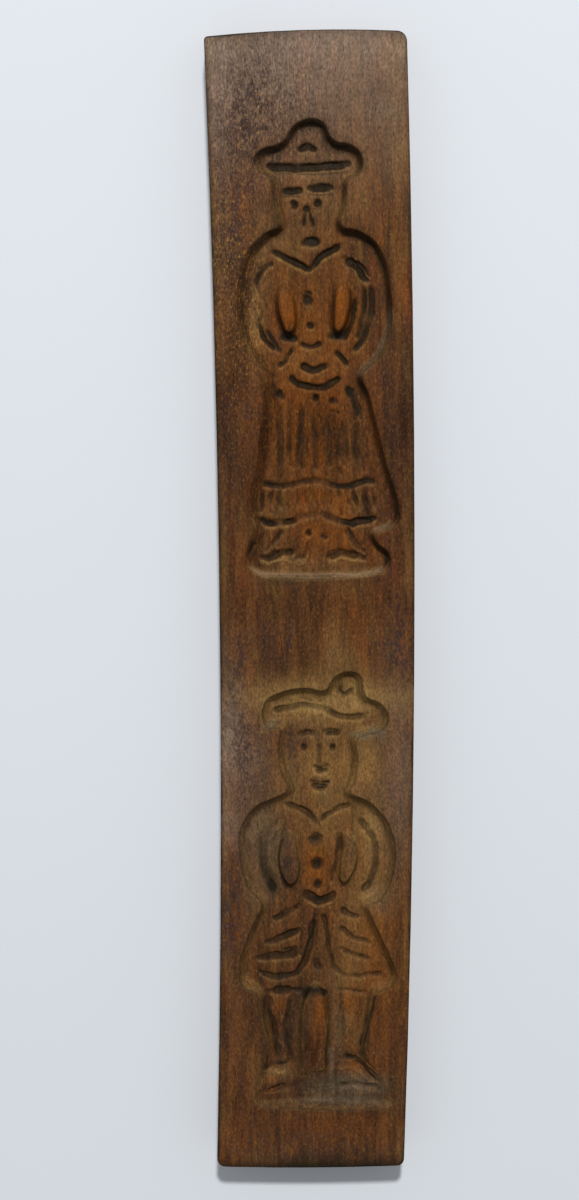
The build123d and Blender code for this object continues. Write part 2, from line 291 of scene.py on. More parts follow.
        # Flecks take the painted glare's colour where glare is painted
        glare_share = bench.product(bench.painted("painted_glare"), 1.4, clamp=True)
        colour = bench.mix(glint, colour, bench.mix(glare_share, self.ochre, self.painted_glare))
        coarse = bench.math("MULTIPLY_ADD", bench.painted("rubbed"), 0.6, self.least_coarseness, clamp=True)
        colour = bench.mix(coarse, colour, bench.spread(grain["fibre"], 0.28, 0.72, 0.56, 1.42), "MULTIPLY")
        colour = bench.mix(1.0, colour, bench.spread(grain["streak"], 0.3, 0.7, 0.82, 1.16), "MULTIPLY")
        pit = bench.product(bench.spread(grain["pore"], 0.58, 0.72, 0.0, 0.8), coarse)
        colour = bench.mix(pit, colour, self.grime_and_shade)
        # Soiling together with painted shade and shadow
        darkening = bench.product(bench.painted("grime_and_shade"), bench.spread(grain["fleck"], 0.36, 0.62, 1.0, 0.9))
        return bench.mix(darkening, colour, self.grime_and_shade)


@dataclass(frozen=True)
class PaleFloor:
    """Matt, faintly blue white paper."""

    name: str = "pale_floor"
    paper: Colour = screen_colour(222, 226, 231)
    roughness: float = 0.9
    gloss: float = 0.1

    def build(self) -> bpy.types.Material:
        """Make the matt material.

        Returns:
            The floor's material.
        """
        material = bpy.data.materials.new(self.name)
        material.use_nodes = True
        bench = ShaderBench(material.node_tree)
        inputs = {"Base Color": self.paper, "Roughness": self.roughness, "Specular IOR Level": self.gloss}
        bench.add("ShaderNodeOutputMaterial", {0: bench.result("ShaderNodeBsdfPrincipled", inputs)})
        return material


class Tone(Enum):
    """What a patch of stain, soiling, painted shade, painted highlight or painted glare does to the wood,
    by the name of the number it is painted into.
    """

    SMOKE = "smoke"
    AMBER = "amber"
    # Pale wear, and painted highlight on lit walls, cut edges and in his mouth
    STRAW = "straw"
    # Ashen grey, and painted highlight on some lit lower walls
    ASH = "ash"
    # Painted glare: a pale grey wash of light
    PAINTED_GLARE = "painted_glare"
    # Soiling, and painted shade and shadow in cuts and beside walls
    GRIME_AND_SHADE = "grime_and_shade"
    RUBBED = "rubbed"
    # Dark brown stain, and painted shade along her steep walls
    UMBER = "umber"


@dataclass(frozen=True)
class Spot:
    """A soft-edged place on the face: its middle, its reach in millimetres and its strength."""

    x: float
    y: float
    across: float
    along: float
    strength: float

    def cover(self, points: np.ndarray) -> np.ndarray:
        """Say how strongly this place takes in each of some points in millimetres, one row each."""
        far = ((points[:, 0] - self.x) / self.across) ** 2 + ((points[:, 1] - self.y) / self.along) ** 2
        return self.strength * np.exp(-far)


@dataclass(frozen=True)
class Patch(Spot):
    """A place with a stain, soiling, painted shade or painted highlight on it; one with a strength below 0
    is cleaner and less shaded than the wood around it.
    """

    tone: Tone


@dataclass(frozen=True)
class Scratch:
    """A small cut, dent or ridge beside the carved lines: its points, width and depth in millimetres."""

    points: tuple[Point, ...]
    width: float
    depth: float

    def sink(self, across: np.ndarray, along: np.ndarray) -> np.ndarray:
        """Work out how deep the scratch goes at each place.

        Args:
            across: X of each place in millimetres.
            along: Y of each place in millimetres.

        Returns:
            The depth at each place, 0 outside the scratch.
        """
        nearest = np.full(across.shape, np.inf)
        for (x0, y0), (x1, y1) in zip(self.points, self.points[1:]):
            run_x, run_y = x1 - x0, y1 - y0
            length = run_x**2 + run_y**2 or 1.0
            share = np.clip(((across - x0) * run_x + (along - y0) * run_y) / length, 0, 1)
            gap = np.hypot(across - x0 - share * run_x, along - y0 - share * run_y)
            nearest = np.minimum(nearest, gap)
        return self.depth * np.clip(1 - (2 * nearest / self.width) ** 2, 0, 1)


@dataclass(frozen=True)
class Smear(Scratch):
    """A stroke of stain, soiling, painted shade or painted highlight: its depth is how strongly it colours
    the wood.
    """

    tone: Tone


def spots_from(rows: tuple[Row, ...]) -> tuple[Spot, ...]:
    """Make places from rows of x, y, reach across, reach along and strength."""
    return tuple(Spot(*row) for row in rows)


def patches_from(stains: dict[Tone, tuple[Row, ...]]) -> tuple[Patch, ...]:
    """Make patches from rows of x, y, reach across, reach along and strength under each tone."""
    return tuple(Patch(*row, tone) for tone, rows in stains.items() for row in rows)


def scratches_from(rows: tuple[Stroke, ...]) -> tuple[Scratch, ...]:
    """Make scratches from rows of a width, a depth and then the points."""
    return tuple(Scratch(tuple(points), width, depth) for width, depth, *points in rows)


def smears_from(stains: dict[Tone, tuple[Stroke, ...]]) -> tuple[Smear, ...]:
    """Make strokes of stain, soiling, painted shade or painted highlight from rows of a width, a strength
    and then the points under each tone.
    """
    return tuple(
        Smear(tuple(points), width, strength, tone)
        for tone, rows in stains.items()
        for width, strength, *points in rows
    )


def rising(values: np.ndarray, band: Band) -> np.ndarray:
    """Turn numbers into shares that rise from 0 at the band's start to 1 where its length ends."""
    return np.clip((values - band[0]) / band[1], 0, 1)


def points_of(mesh: bpy.types.Mesh) -> np.ndarray:
    """Read a mesh's points in millimetres, one row each.

    Args:
        mesh: The mesh, in metres.

    Returns:
        Its points.
    """
    places = np.empty(len(mesh.vertices) * 3)
    mesh.vertices.foreach_get("co", places)
    return places.reshape(-1, 3) / MM


def normals_of(mesh: bpy.types.Mesh) -> np.ndarray:
    """Read the normals at a mesh's points, one row each.

    Args:
        mesh: The mesh.

    Returns:
        Its normals.
    """
    normals = np.empty(len(mesh.vertices) * 3)
    mesh.vertex_normals.foreach_get("vector", normals)
    return normals.reshape(-1, 3)


def write_numbers(mesh: bpy.types.Mesh, name: str, values: np.ndarray) -> None:
    """Keep a number at each of a mesh's points, where the node trees read it."""
    mesh.attributes.new(name, "FLOAT", "POINT").data.foreach_set("value", values)


def plain_mesh(piece: bpy.types.Object) -> bpy.types.Mesh:
    """Turn a piece and its modifiers into one plain mesh and take the modifiers off.

    Args:
        piece: The piece with its modifiers.

    Returns:
        The mesh that they give.
    """
    graph = bpy.context.evaluated_depsgraph_get()
    mesh = bpy.data.meshes.new_from_object(piece.evaluated_get(graph))
    piece.modifiers.clear()
    return mesh


@dataclass(frozen=True)
class Waves:
    """A smooth random map: half the length of its waves in millimetres and the seed of its shape."""

    reach: float
    seed: int


@dataclass
class Relief:
    """Heights of the carved face on a fine grid, in millimetres."""

    left: float
    foot: float
    step: float
    heights: np.ndarray

    @classmethod
    def read(cls, mesh: bpy.types.Mesh, step: float) -> "Relief":
        """Look straight down on a mesh and note the height of its face.

        Args:
            mesh: The plank's solid, in metres.
            step: The grid's spacing in millimetres.

        Returns:
            The relief of its upper side.
        """
        places = points_of(mesh)
        low, high = places.min(axis=0), places.max(axis=0)
        tree = BVHTree.FromPolygons(
            [vertex.co for vertex in mesh.vertices], [tuple(face.vertices) for face in mesh.polygons]
        )
        columns = int((high[0] - low[0]) / step) + 3
        rows = int((high[1] - low[1]) / step) + 3
        left, foot = low[0] - step, low[1] - step
        heights = np.full((rows, columns), high[2])
        down = Vector((0, 0, -1))
        for row in range(rows):
            y = (foot + row * step) * MM
            for column in range(columns):
                spot = tree.ray_cast(Vector(((left + column * step) * MM, y, 0.1)), down)[0]
                if spot is not None:
                    heights[row, column] = spot.z / MM
        return cls(left, foot, step, heights)

    @property
    def face(self) -> float:
        """Height of the plank's face."""
        return self.heights.max()

    def grid(self) -> tuple[np.ndarray, np.ndarray]:
        """Return X and Y of every point of the grid.

        Returns:
            Two maps, X and Y in millimetres.
        """
        rows, columns = self.heights.shape
        xs = self.left + np.arange(columns) * self.step
        ys = self.foot + np.arange(rows) * self.step
        return np.meshgrid(xs, ys)

    def spots(self) -> np.ndarray:
        """Return the points of the grid, one row each."""
        return np.stack(self.grid(), axis=-1).reshape(-1, 2)

    def soften(self, field_map: np.ndarray, reach: float) -> np.ndarray:
        """Blur a map with a bell curve.

        Args:
            field_map: The map, on this relief's grid.
            reach: The bell's width, in millimetres.

        Returns:
            The blurred map.
        """
        cells = max(1, int(math.ceil(3 * reach / self.step)))
        bell = np.exp(-0.5 * (np.arange(-cells, cells + 1) * self.step / reach) ** 2)
        bell /= bell.sum()
        padded = np.pad(field_map, cells, mode="edge")
        padded = np.apply_along_axis(np.convolve, 0, padded, bell, mode="valid")
        return np.apply_along_axis(np.convolve, 1, padded, bell, mode="valid")

    def waver(self, waves: Waves) -> np.ndarray:
        """Make a smooth random map of about -2 to 2 on this relief's grid.

        Args:
            waves: The size of its waves and its seed.

        Returns:
            The map.
        """
        rough = np.random.default_rng(waves.seed).standard_normal(self.heights.shape)
        smooth = self.soften(rough, waves.reach)
        return smooth / smooth.std()

    def jolt(self, field_map: np.ndarray, waves: Waves, shift: float) -> np.ndarray:
        """Push a map's edges about as an unsteady hand would.

        Args:
            field_map: The map, on this relief's grid.
            waves: How the edges stray across; along the plank they follow the next seed.
            shift: How far an edge strays, in millimetres.

        Returns:
            The wavering map.
        """
        across, along = self.grid()
        across = across + shift * self.waver(waves)
        along = along + shift * self.waver(Waves(waves.reach, waves.seed + 1))
        strayed = np.stack([across, along], axis=-1).reshape(-1, 2)
        return self.sample(field_map, strayed).reshape(field_map.shape)

    def sample(self, field_map: np.ndarray, spots: np.ndarray) -> np.ndarray:
        """Read a map between its grid points.

        Args:
            field_map: The map, on this relief's grid.
            spots: Places in millimetres, one row each.

        Returns:
            The map's value at each spot.
        """
        rows, columns = self.heights.shape
        u = np.clip((spots[:, 0] - self.left) / self.step, 0, columns - 1.001)
        v = np.clip((spots[:, 1] - self.foot) / self.step, 0, rows - 1.001)
        i, j = u.astype(int), v.astype(int)
        a, b = u - i, v - j
        lower = field_map[j, i] * (1 - a) + field_map[j, i + 1] * a
        upper = field_map[j + 1, i] * (1 - a) + field_map[j + 1, i + 1] * a
        return lower * (1 - b) + upper * b


@dataclass(frozen=True)
class SurfaceWork:
    """What the carver's tools and a century of use leave on the surface, as a node tree."""

    name: str = "surface_work"
    seed: float = 7.0
    face_wave: float = 0.05 * MM
    floor_wave: float = 0.16 * MM
    tool_mark: float = 0.10 * MM

    def tree(self, wood: bpy.types.Material) -> bpy.types.NodeTree:
        """Build the tree that ripples the surface along its own normals.

        Args:
            wood: The finish that the tree ends on.

        Returns:
            The node tree, with its sizes as named inputs.
        """
        tree = bpy.data.node_groups.new(self.name, "GeometryNodeTree")
        face = tree.interface
        face.new_socket("Geometry", in_out="INPUT", socket_type="NodeSocketGeometry")
        for label in ("Face Wave", "Floor Wave", "Tool Mark", "Seed"):
            face.new_socket(label, in_out="INPUT", socket_type="NodeSocketFloat")
        face.new_socket("Geometry", in_out="OUTPUT", socket_type="NodeSocketGeometry")
        bench = NodeBench(tree)
        given = bench.add("NodeGroupInput").outputs
        place = bench.result("GeometryNodeInputPosition")

        def noted(label: str) -> Socket:
            """A number that the mesh carries at each of its points."""
            return bench.result("GeometryNodeInputNamedAttribute", {"Name": label}, data_type="FLOAT")

        def ripple(squeeze: float, scale: float) -> Socket:
            """Seeded noise from -1 to 1, drawn out along the grain.

            Args:
                squeeze: Its scale along the plank over its scale across.
                scale: Its fineness across the plank.

            Returns:
                The socket that holds the noise.
            """
            stretch = {0: place, 1: (1.0, squeeze, 1.0)}
            along = bench.result("ShaderNodeVectorMath", stretch, operation="MULTIPLY")
            inputs = {"Vector": along, "W": given["Seed"], "Scale": scale, "Detail": 2.0}
            cloud = bench.result("ShaderNodeTexNoise", inputs, noise_dimensions="4D")
            return bench.math("MULTIPLY_ADD", cloud, 2.0, -1.0)

        sunk = noted("sunk")
        height = bench.product(bench.math("ADD", ripple(0.25, 160.0), -1.0), given["Face Wave"])
        for label, squeeze, scale in (("Floor Wave", 0.6, 210.0), ("Tool Mark", 0.45, 620.0)):
            wave = bench.product(bench.product(ripple(squeeze, scale), given[label]), sunk)
            height = bench.math("ADD", height, wave)
        height = bench.product(height, noted("clear"))
        scaled = {0: bench.result("GeometryNodeInputNormal"), "Scale": height}
        push = bench.result("ShaderNodeVectorMath", scaled, operation="SCALE")
        moved = bench.result("GeometryNodeSetPosition", {"Geometry": given["Geometry"], "Offset": push})
        real = bench.result("GeometryNodeRealizeInstances", {0: moved})
        dressed = bench.result("GeometryNodeSetMaterial", {"Geometry": real, "Material": wood})
        bench.add("NodeGroupOutput", {0: dressed})
        return tree

    def lay_on(self, piece: bpy.types.Object, wood: bpy.types.Material) -> None:
        """Put the tree on a piece as a modifier with this surface's sizes.

        Args:
            piece: The piece whose surface is worked.
            wood: Its finish.
        """
        modifier = piece.modifiers.new(self.name, "NODES")
        modifier.node_group = self.tree(wood)
        values = {
            "Face Wave": self.face_wave,
            "Floor Wave": self.floor_wave,
            "Tool Mark": self.tool_mark,
            "Seed": self.seed,
        }
        for item in modifier.node_group.interface.items_tree:
            if item.in_out == "INPUT" and item.name in values:
                modifier[item.identifier] = values[item.name]


@dataclass(frozen=True)
class WearAndPaintedLight:
    """How strongly each form of the carving darkens or pales the wood with soiling, wear, painted shade,
    painted shadow and painted highlights; pairs are hers, then his.

    Each band says at which depth or slope a form starts to count and how much more makes it count
    fully. The ledge is the lit wall at the lower end of her hollow, where a highlight is painted, and it
    fades out over its end.
    """

    cut: Band = (0.0, 0.85)
    wall: Band = (0.0, 0.9)
    lit_wall: Band = (0.0, 1.0)
    shadow: Band = (0.0, 1.1)
    corner: Band = (0.0, 3.5)
    ridge: Band = (0.0, 0.5)
    ledge: Band = (1.0, 1.5)
    ledge_end: Band = (38.0, 8.0)
    # Soiling and painted shade in the cuts
    grime_and_shade_in_cuts: Pair = (1.0, 0.64)
    # Painted shadow below the upper walls and beside the right walls
    painted_shadow: Pair = (0.5, 0.15)
    dark_line_on_rims: Pair = (0.15, 0.6)
    shade_in_corners: Pair = (0.3, 0.1)
    dark_line_on_plank_edge: float = 0.45
    grime_on_top_edge: float = 0.8
    most_grime_and_shade: float = 0.94
    # Painted highlight on walls that face the light and on the lower edges of cuts
    straw_on_lit_walls: Pair = (0.4, 0.25)
    straw_on_all_walls: Pair = (0.0, 0.25)
    highlight_on_lips: Pair = (0.5, 0.28)
    straw_on_ridges: float = 0.3
    straw_on_plank_edge: float = 0.3
    # Painted highlight on her lit ledge, in straw and in glare
    highlight_on_ledge: float = 0.4
    glare_on_ledge: float = 0.3
    umber_and_shade_on_walls: Pair = (0.4, 0.2)


@dataclass
class CarvedBoard:
    """The plank with its two carved figures, made from the solid's own shape.

    Lengths and depths are in millimetres. A pair is hers, then his. A band is where something
    starts and over what length it comes in fully.
    """

    node: str = "mold_board"
    body: str = "root"
    slot: str = "stained_wood"
    voxel: float = 0.4
    grid_step: float = 0.3
    half_width: float = 38.0
    bow: float = 3.6
    end_margin: float = 1.6
    untouched_rim: float = 1.2
    reach_down: float = 8.0
    side_band: Band = (1.0, 2.5)
    skin: float = 0.9
    floor_depths: Pair = (5.0, 4.5)
    edge_rounding: float = 0.22
    foot_rounding: float = 0.7
    foot_band: Band = (0.6, 2.5)
    line_rounding: float = 0.3
    line_gain: float = 1.5
    deepest_line: float = 1.5
    line_strength: float = 0.95
    torn_loss: float = 0.15
    unsteadiness: float = 0.2
    torn_unsteadiness: float = 0.2
    weakest_line: float = 0.35
    strongest_line: float = 1.2
    gentle_reach: float = 6.0
    gentle_slope: float = 1.0
    gentle_left: Band = (9.0, 3.0)
    gentle_up: Band = (10.0, 10.0)
    hand_shift: float = 0.22
    wall_waves: Waves = Waves(4.0, 11)
    line_waves: Waves = Waves(1.6, 21)
    tremble: Waves = Waves(0.7, 41)
    depth_waves: Waves = Waves(1.5, 31)
    ridge_waves: Waves = Waves(1.0, 51)
    rim_waves: Waves = Waves(9.0, 61)
    stroke_shift: float = 0.25
    stroke_waves: tuple[Waves, Waves] = (Waves(1.5, 71), Waves(1.5, 72))
    most_triangles: int = 190000
    rippled_band: Band = (1.5, 2.5)
    clear_of_back: Band = (0.0, 2.0)
    plain_below: float = 8.0
    least_patch: float = 0.35
    surface: SurfaceWork = SurfaceWork()
    wear: WearAndPaintedLight = WearAndPaintedLight()
    cuts: tuple[Scratch, ...] = ()
    ridges: tuple[Scratch, ...] = ()
    faded: tuple[Spot, ...] = ()
    shallows: tuple[Spot, ...] = ()
    torn: tuple[Spot, ...] = ()
    blurred: tuple[Spot, ...] = ()
    smears: tuple[Smear, ...] = ()
    patches: tuple[Patch, ...] = ()
    relief: Relief = field(init=False)

    def build(self, wood: bpy.types.Material) -> bpy.types.Object:
        """Make the worn plank and let it stand for the solid.

        Args:
            wood: Its finish.

        Returns:
            The finished piece.
        """
        mesh = self.merged_copy(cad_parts[self.node])
        self.relief = Relief.read(mesh, self.grid_step)
        log.info("relief of %d x %d points", *self.relief.heights.shape)
        piece = bpy.data.objects.new("carved_board", mesh)
        bpy.context.scene.collection.objects.link(piece)
        self.remesh(piece)
        log.info("%d points after the remesh", len(piece.data.vertices))
        shaped = self.shape()
        self.settle(piece.data, shaped)
        self.surface.lay_on(piece, wood)
        piece.data = plain_mesh(piece)
        self.thin_out(piece)
        self.paint(piece.data, shaped)
        piece.data.shade_smooth()
        piece.data.materials.clear()
        piece.data.materials.append(wood)
        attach(piece, self.body)
        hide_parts(self.node)
        log.info("%s: %d triangles", piece.name, len(piece.data.polygons))
        return piece

    def merged_copy(self, solid: bpy.types.Object) -> bpy.types.Mesh:
        """Copy the solid's loose triangles and merge them to one closed skin.

        Args:
            solid: The plank's solid.

        Returns:
            The closed skin.
        """
        made = bmesh.new()
        made.from_mesh(solid.data)
        bmesh.ops.remove_doubles(made, verts=made.verts, dist=0.002 * MM)
        mesh = bpy.data.meshes.new("carved_board")
        made.to_mesh(mesh)
        made.free()
        return mesh

    def remesh(self, piece: bpy.types.Object) -> None:
        """Replace the solid's long triangles with small even ones.

        Args:
            piece: The piece that carries the closed skin.
        """
        even = piece.modifiers.new("even", "REMESH")
        even.mode = "VOXEL"
        even.voxel_size = self.voxel * MM
        piece.data = plain_mesh(piece)

    def shape(self) -> np.ndarray:
        """Round the hollows as a gouge leaves them and add the small scratches.

        Returns:
            The new heights on the relief's grid, in millimetres.
        """
        relief, floor = self.relief, self.floor()
        hollow = relief.jolt(np.maximum(relief.heights, floor), self.wall_waves, self.hand_shift)
        low = rising(relief.face - hollow, self.foot_band)
        crisp = relief.soften(hollow, self.edge_rounding)
        soft = relief.soften(hollow, self.foot_rounding)
        hollow = crisp + low * (soft - crisp)
        hollow = hollow + self.gentle_side() * (self.ramp(hollow) - hollow)
        hollow = relief.face - (relief.face - hollow) * (1 - self.spread_of(self.shallows))
        lines = relief.jolt(floor - np.minimum(relief.heights, floor), self.line_waves, self.hand_shift)
        lines = relief.jolt(lines, self.tremble, self.hand_shift / 2)
        lines = np.minimum(self.line_gain * relief.soften(lines, self.line_rounding), self.deepest_line)
        lines = np.maximum(lines, self.drawn(self.cuts))
        torn = self.spread_of(self.torn)
        unsteady = (self.unsteadiness + self.torn_unsteadiness * torn) * relief.waver(self.depth_waves)
        strength = self.line_strength - self.torn_loss * torn + unsteady
        lines = lines * np.clip(strength, self.weakest_line, self.strongest_line)
        lines = lines * (1 - self.spread_of(self.faded))
        ridges = relief.jolt(self.drawn(self.ridges), self.ridge_waves, self.hand_shift)
        return np.minimum(hollow - lines + ridges, relief.face)

    def gentle_side(self) -> np.ndarray:
        """Map the left part of her hollow, where walls run out gently."""
        across, along = self.relief.grid()
        return rising(-across, self.gentle_left) * rising(along, self.gentle_up)

    def ramp(self, hollow: np.ndarray) -> np.ndarray:
        """Let every wall on the left of a hollow run out gently towards the right.

        Args:
            hollow: Heights on the relief's grid.

        Returns:
            The heights with the gentle walls.
        """
        step = self.relief.step
        filled = hollow.copy()
        for columns in range(1, int(self.gentle_reach / step)):
            sloping = hollow[:, :-columns] - columns * step * self.gentle_slope
            filled[:, columns:] = np.maximum(filled[:, columns:], sloping)
        return filled

    def drawn(self, strokes: tuple[Scratch, ...]) -> np.ndarray:
        """Map the depth of the deepest of some strokes at each point of the relief.

        Args:
            strokes: The cuts or ridges.

        Returns:
            The depths in millimetres.
        """
        across, along = self.relief.grid()
        deepest = np.zeros(self.relief.heights.shape)
        for stroke in strokes:
            deepest = np.maximum(deepest, stroke.sink(across, along))
        return deepest

    def spread_of(self, spots: tuple[Spot, ...]) -> np.ndarray:
        """Map how strongly some places together take in each point of the relief, from 0 to 1.

        Args:
            spots: The places.

        Returns:
            One share for each point.
        """
        points = self.relief.spots()
        cover = sum((spot.cover(points) for spot in spots), np.zeros(len(points)))
        return np.clip(cover, 0, 1).reshape(self.relief.heights.shape)

    def by_figure(self, pair: Pair) -> np.ndarray:
        """Map the first of two numbers over her half of the plank and the second over his."""
        return np.where(self.relief.grid()[1] > 0, *pair)

    def floor(self) -> np.ndarray:
        """Map the level of the hollows' floors."""
        return self.relief.face - self.by_figure(self.floor_depths)

    def rim_distance(self, places: np.ndarray) -> np.ndarray:
        """Roughly how far each place lies inside the plank's own outline, in millimetres.

        Args:
            places: Places in millimetres, one row each.

        Returns:
            One distance for each place.
        """
        half_length = (self.relief.heights.shape[0] - 3) * self.relief.step / 2
        middle = self.bow / 2 - self.bow * (places[:, 1] / half_length) ** 2
        sides = self.half_width - np.abs(places[:, 0] - middle)
        ends = half_length - self.end_margin - np.abs(places[:, 1])
        return np.minimum(sides, ends)

    def settle(self, mesh: bpy.types.Mesh, shaped: np.ndarray) -> None:
        """Bring the upper side to its new heights and note where it is sunk and clear of the back.

        Args:
            mesh: The plank's even mesh.
            shaped: The new heights.
        """
        places = points_of(mesh)
        below = self.relief.face - places[:, 2]
        on_relief = np.abs(places[:, 2] - self.relief.sample(self.relief.heights, places)) < self.skin
        inner = self.rim_distance(places) > self.untouched_rim
        faces_up = normals_of(mesh)[:, 2] > 0.05
        upper = faces_up & (below < self.reach_down) & (on_relief | (below > 0.5)) & inner
        new = self.relief.sample(shaped, places)
        places[upper, 2] = new[upper]
        mesh.vertices.foreach_set("co", (places * MM).ravel())
        write_numbers(mesh, "sunk", upper * rising(self.relief.face - new, self.rippled_band))
        write_numbers(mesh, "clear", rising(places[:, 2], self.clear_of_back))
        mesh.update()

    def thin_out(self, piece: bpy.types.Object) -> None:
        """Take out triangles where the surface is nearly flat.

        Args:
            piece: The piece with too many triangles.
        """
        count = sum(len(face.vertices) - 2 for face in piece.data.polygons)
        fewer = piece.modifiers.new("fewer", "DECIMATE")
        fewer.ratio = min(1.0, self.most_triangles / count)
        piece.data = plain_mesh(piece)

    def paint(self, mesh: bpy.types.Mesh, shaped: np.ndarray) -> None:
        """Write the stains, the soiling and painted shade in the cuts, the painted highlights and glare,
        and the wear on the edges to the mesh's points.

        Args:
            mesh: The finished mesh.
            shaped: The heights of the upper side.
        """
        places = points_of(mesh)
        below = self.relief.face - places[:, 2]
        inner = self.rim_distance(places) > self.untouched_rim
        upper = np.where(inner, below < self.reach_down, 1 - rising(below, self.side_band))
        plainer = np.clip(places[:, 2] / self.plain_below, self.least_patch, 1)
        numbers = {tone: np.zeros(len(places)) for tone in Tone}
        for tone, worn in self.wear_and_light_maps(shaped).items():
            numbers[tone] += upper * self.relief.sample(worn, places)
        numbers[Tone.GRIME_AND_SHADE] += self.top_edge(mesh, places)
        for patch in self.patches:
            numbers[patch.tone] += patch.cover(places) * plainer
        strays = [self.relief.sample(self.relief.waver(waves), places) for waves in self.stroke_waves]
        across, along = places[:, :2].T + self.stroke_shift * np.array(strays)
        for smear in self.smears:
            numbers[smear.tone] += smear.sink(across, along) * upper
        for tone, values in numbers.items():
            write_numbers(mesh, tone.value, np.clip(values, 0, 1))

    def top_edge(self, mesh: bpy.types.Mesh, places: np.ndarray) -> np.ndarray:
        """Say how dark hands have left each of a mesh's points along the rounded top end."""
        tipped = rising(normals_of(mesh)[:, 1], (0.3, 0.4))
        return self.wear.grime_on_top_edge * tipped * (places[:, 1] > 215) * (places[:, 2] > 16)

    def wear_and_light_maps(self, shaped: np.ndarray) -> dict[Tone, np.ndarray]:
        """Work out where the carving gathers soiling and painted shade, where highlights are painted on its
        lit walls, and where hands have rubbed it.

        Args:
            shaped: The heights of the upper side.

        Returns:
            A map for each tone that follows the carving.
        """
        relief, wear = self.relief, self.wear
        hollow = relief.soften(np.maximum(relief.heights, self.floor()), 0.5)
        rise, lean = np.gradient(hollow, relief.step)
        walls = rising(np.hypot(rise, lean), wear.wall)
        cut = rising((hollow - shaped) * (hollow < relief.face - 2.0), wear.cut)
        # The lower edges of cuts face the light and get a painted highlight
        lip = np.clip(np.roll(cut, -4, axis=0) - cut, 0, 1)
        ridge = rising(self.drawn(self.ridges), wear.ridge)
        # The ledge faces the light, so a highlight is painted on it
        lowest = (1 - rising(relief.grid()[1], wear.ledge_end)) * self.by_figure((1, 0))
        ledge = rising(-rise, wear.ledge) * lowest

        # Cuts darken with soiling and painted shade; beside the walls comes painted shadow and corner shade
        grime_and_shade = cut * self.by_figure(wear.grime_and_shade_in_cuts) + self.shade(hollow, rise, lean)
        # Walls that face the light get a painted highlight
        straw = rising(-rise, wear.lit_wall) * self.by_figure(wear.straw_on_lit_walls)
        straw += walls * self.by_figure(wear.straw_on_all_walls)
        straw += lip * self.by_figure(wear.highlight_on_lips)
        straw += ridge * wear.straw_on_ridges

        inward = self.rim_distance(relief.spots()).reshape(cut.shape)
        patchy = np.clip(0.6 + 0.5 * relief.waver(self.rim_waves), 0, 1)
        # A thin dark line painted along the plank's edge
        grime_and_shade += wear.dark_line_on_plank_edge * np.exp(-((inward / 1.1) ** 2))
        straw += wear.straw_on_plank_edge * np.exp(-(((inward - 2.2) / 1.2) ** 2)) * patchy
        straw += wear.highlight_on_ledge * ledge
        # Steep walls darken with umber, part stain and part painted shade
        umber = relief.soften(walls, 1.0) * self.by_figure(wear.umber_and_shade_on_walls)
        maps = {
            Tone.GRIME_AND_SHADE: np.clip(grime_and_shade, 0, wear.most_grime_and_shade),
            Tone.STRAW: straw * (1 - cut),
            Tone.UMBER: umber * (1 - ledge),
            Tone.PAINTED_GLARE: wear.glare_on_ledge * ledge,
        }
        return {tone: np.clip(values, 0, 1) for tone, values in maps.items()}

    def shade(self, hollow: np.ndarray, rise: np.ndarray, lean: np.ndarray) -> np.ndarray:
        """Map the painted shadow that lies beside the upper and right walls, the painted shade in corners
        and a thin dark line along the rims.

        Args:
            hollow: The softened heights of the hollows, without the cuts.
            rise: Their slope along the plank.
            lean: Their slope across it.

        Returns:
            The painted shade, painted shadow and rim line on the relief's grid.
        """
        relief, wear = self.relief, self.wear
        # Painted shadow cast below the upper walls and beside the right walls, shifted down over the floor
        shadowed = rising(rise + 0.3 * lean, wear.shadow)
        shade = relief.soften(np.maximum(shadowed, np.roll(shadowed, -5, axis=0)), 0.6)
        # Painted shade in the corners at the feet of the upper and right walls
        over = np.maximum(np.roll(hollow, -5, axis=0), np.roll(hollow, -4, axis=1))
        corner = rising(relief.soften(over - hollow, 0.4), wear.corner)
        # A thin dark line painted along the rims of the hollows
        carved = (relief.heights < relief.face - 0.3).astype(float)
        edge = relief.soften(relief.jolt(carved, self.wall_waves, self.hand_shift), 0.25)
        rim = 4 * edge * (1 - edge) * (1 - self.spread_of(self.blurred))
        grime_and_shade = shade * self.by_figure(wear.painted_shadow)
        grime_and_shade += rim * self.by_figure(wear.dark_line_on_rims)
        grime_and_shade += corner * self.by_figure(wear.shade_in_corners)
        return grime_and_shade * (1 - self.spread_of(self.shallows))


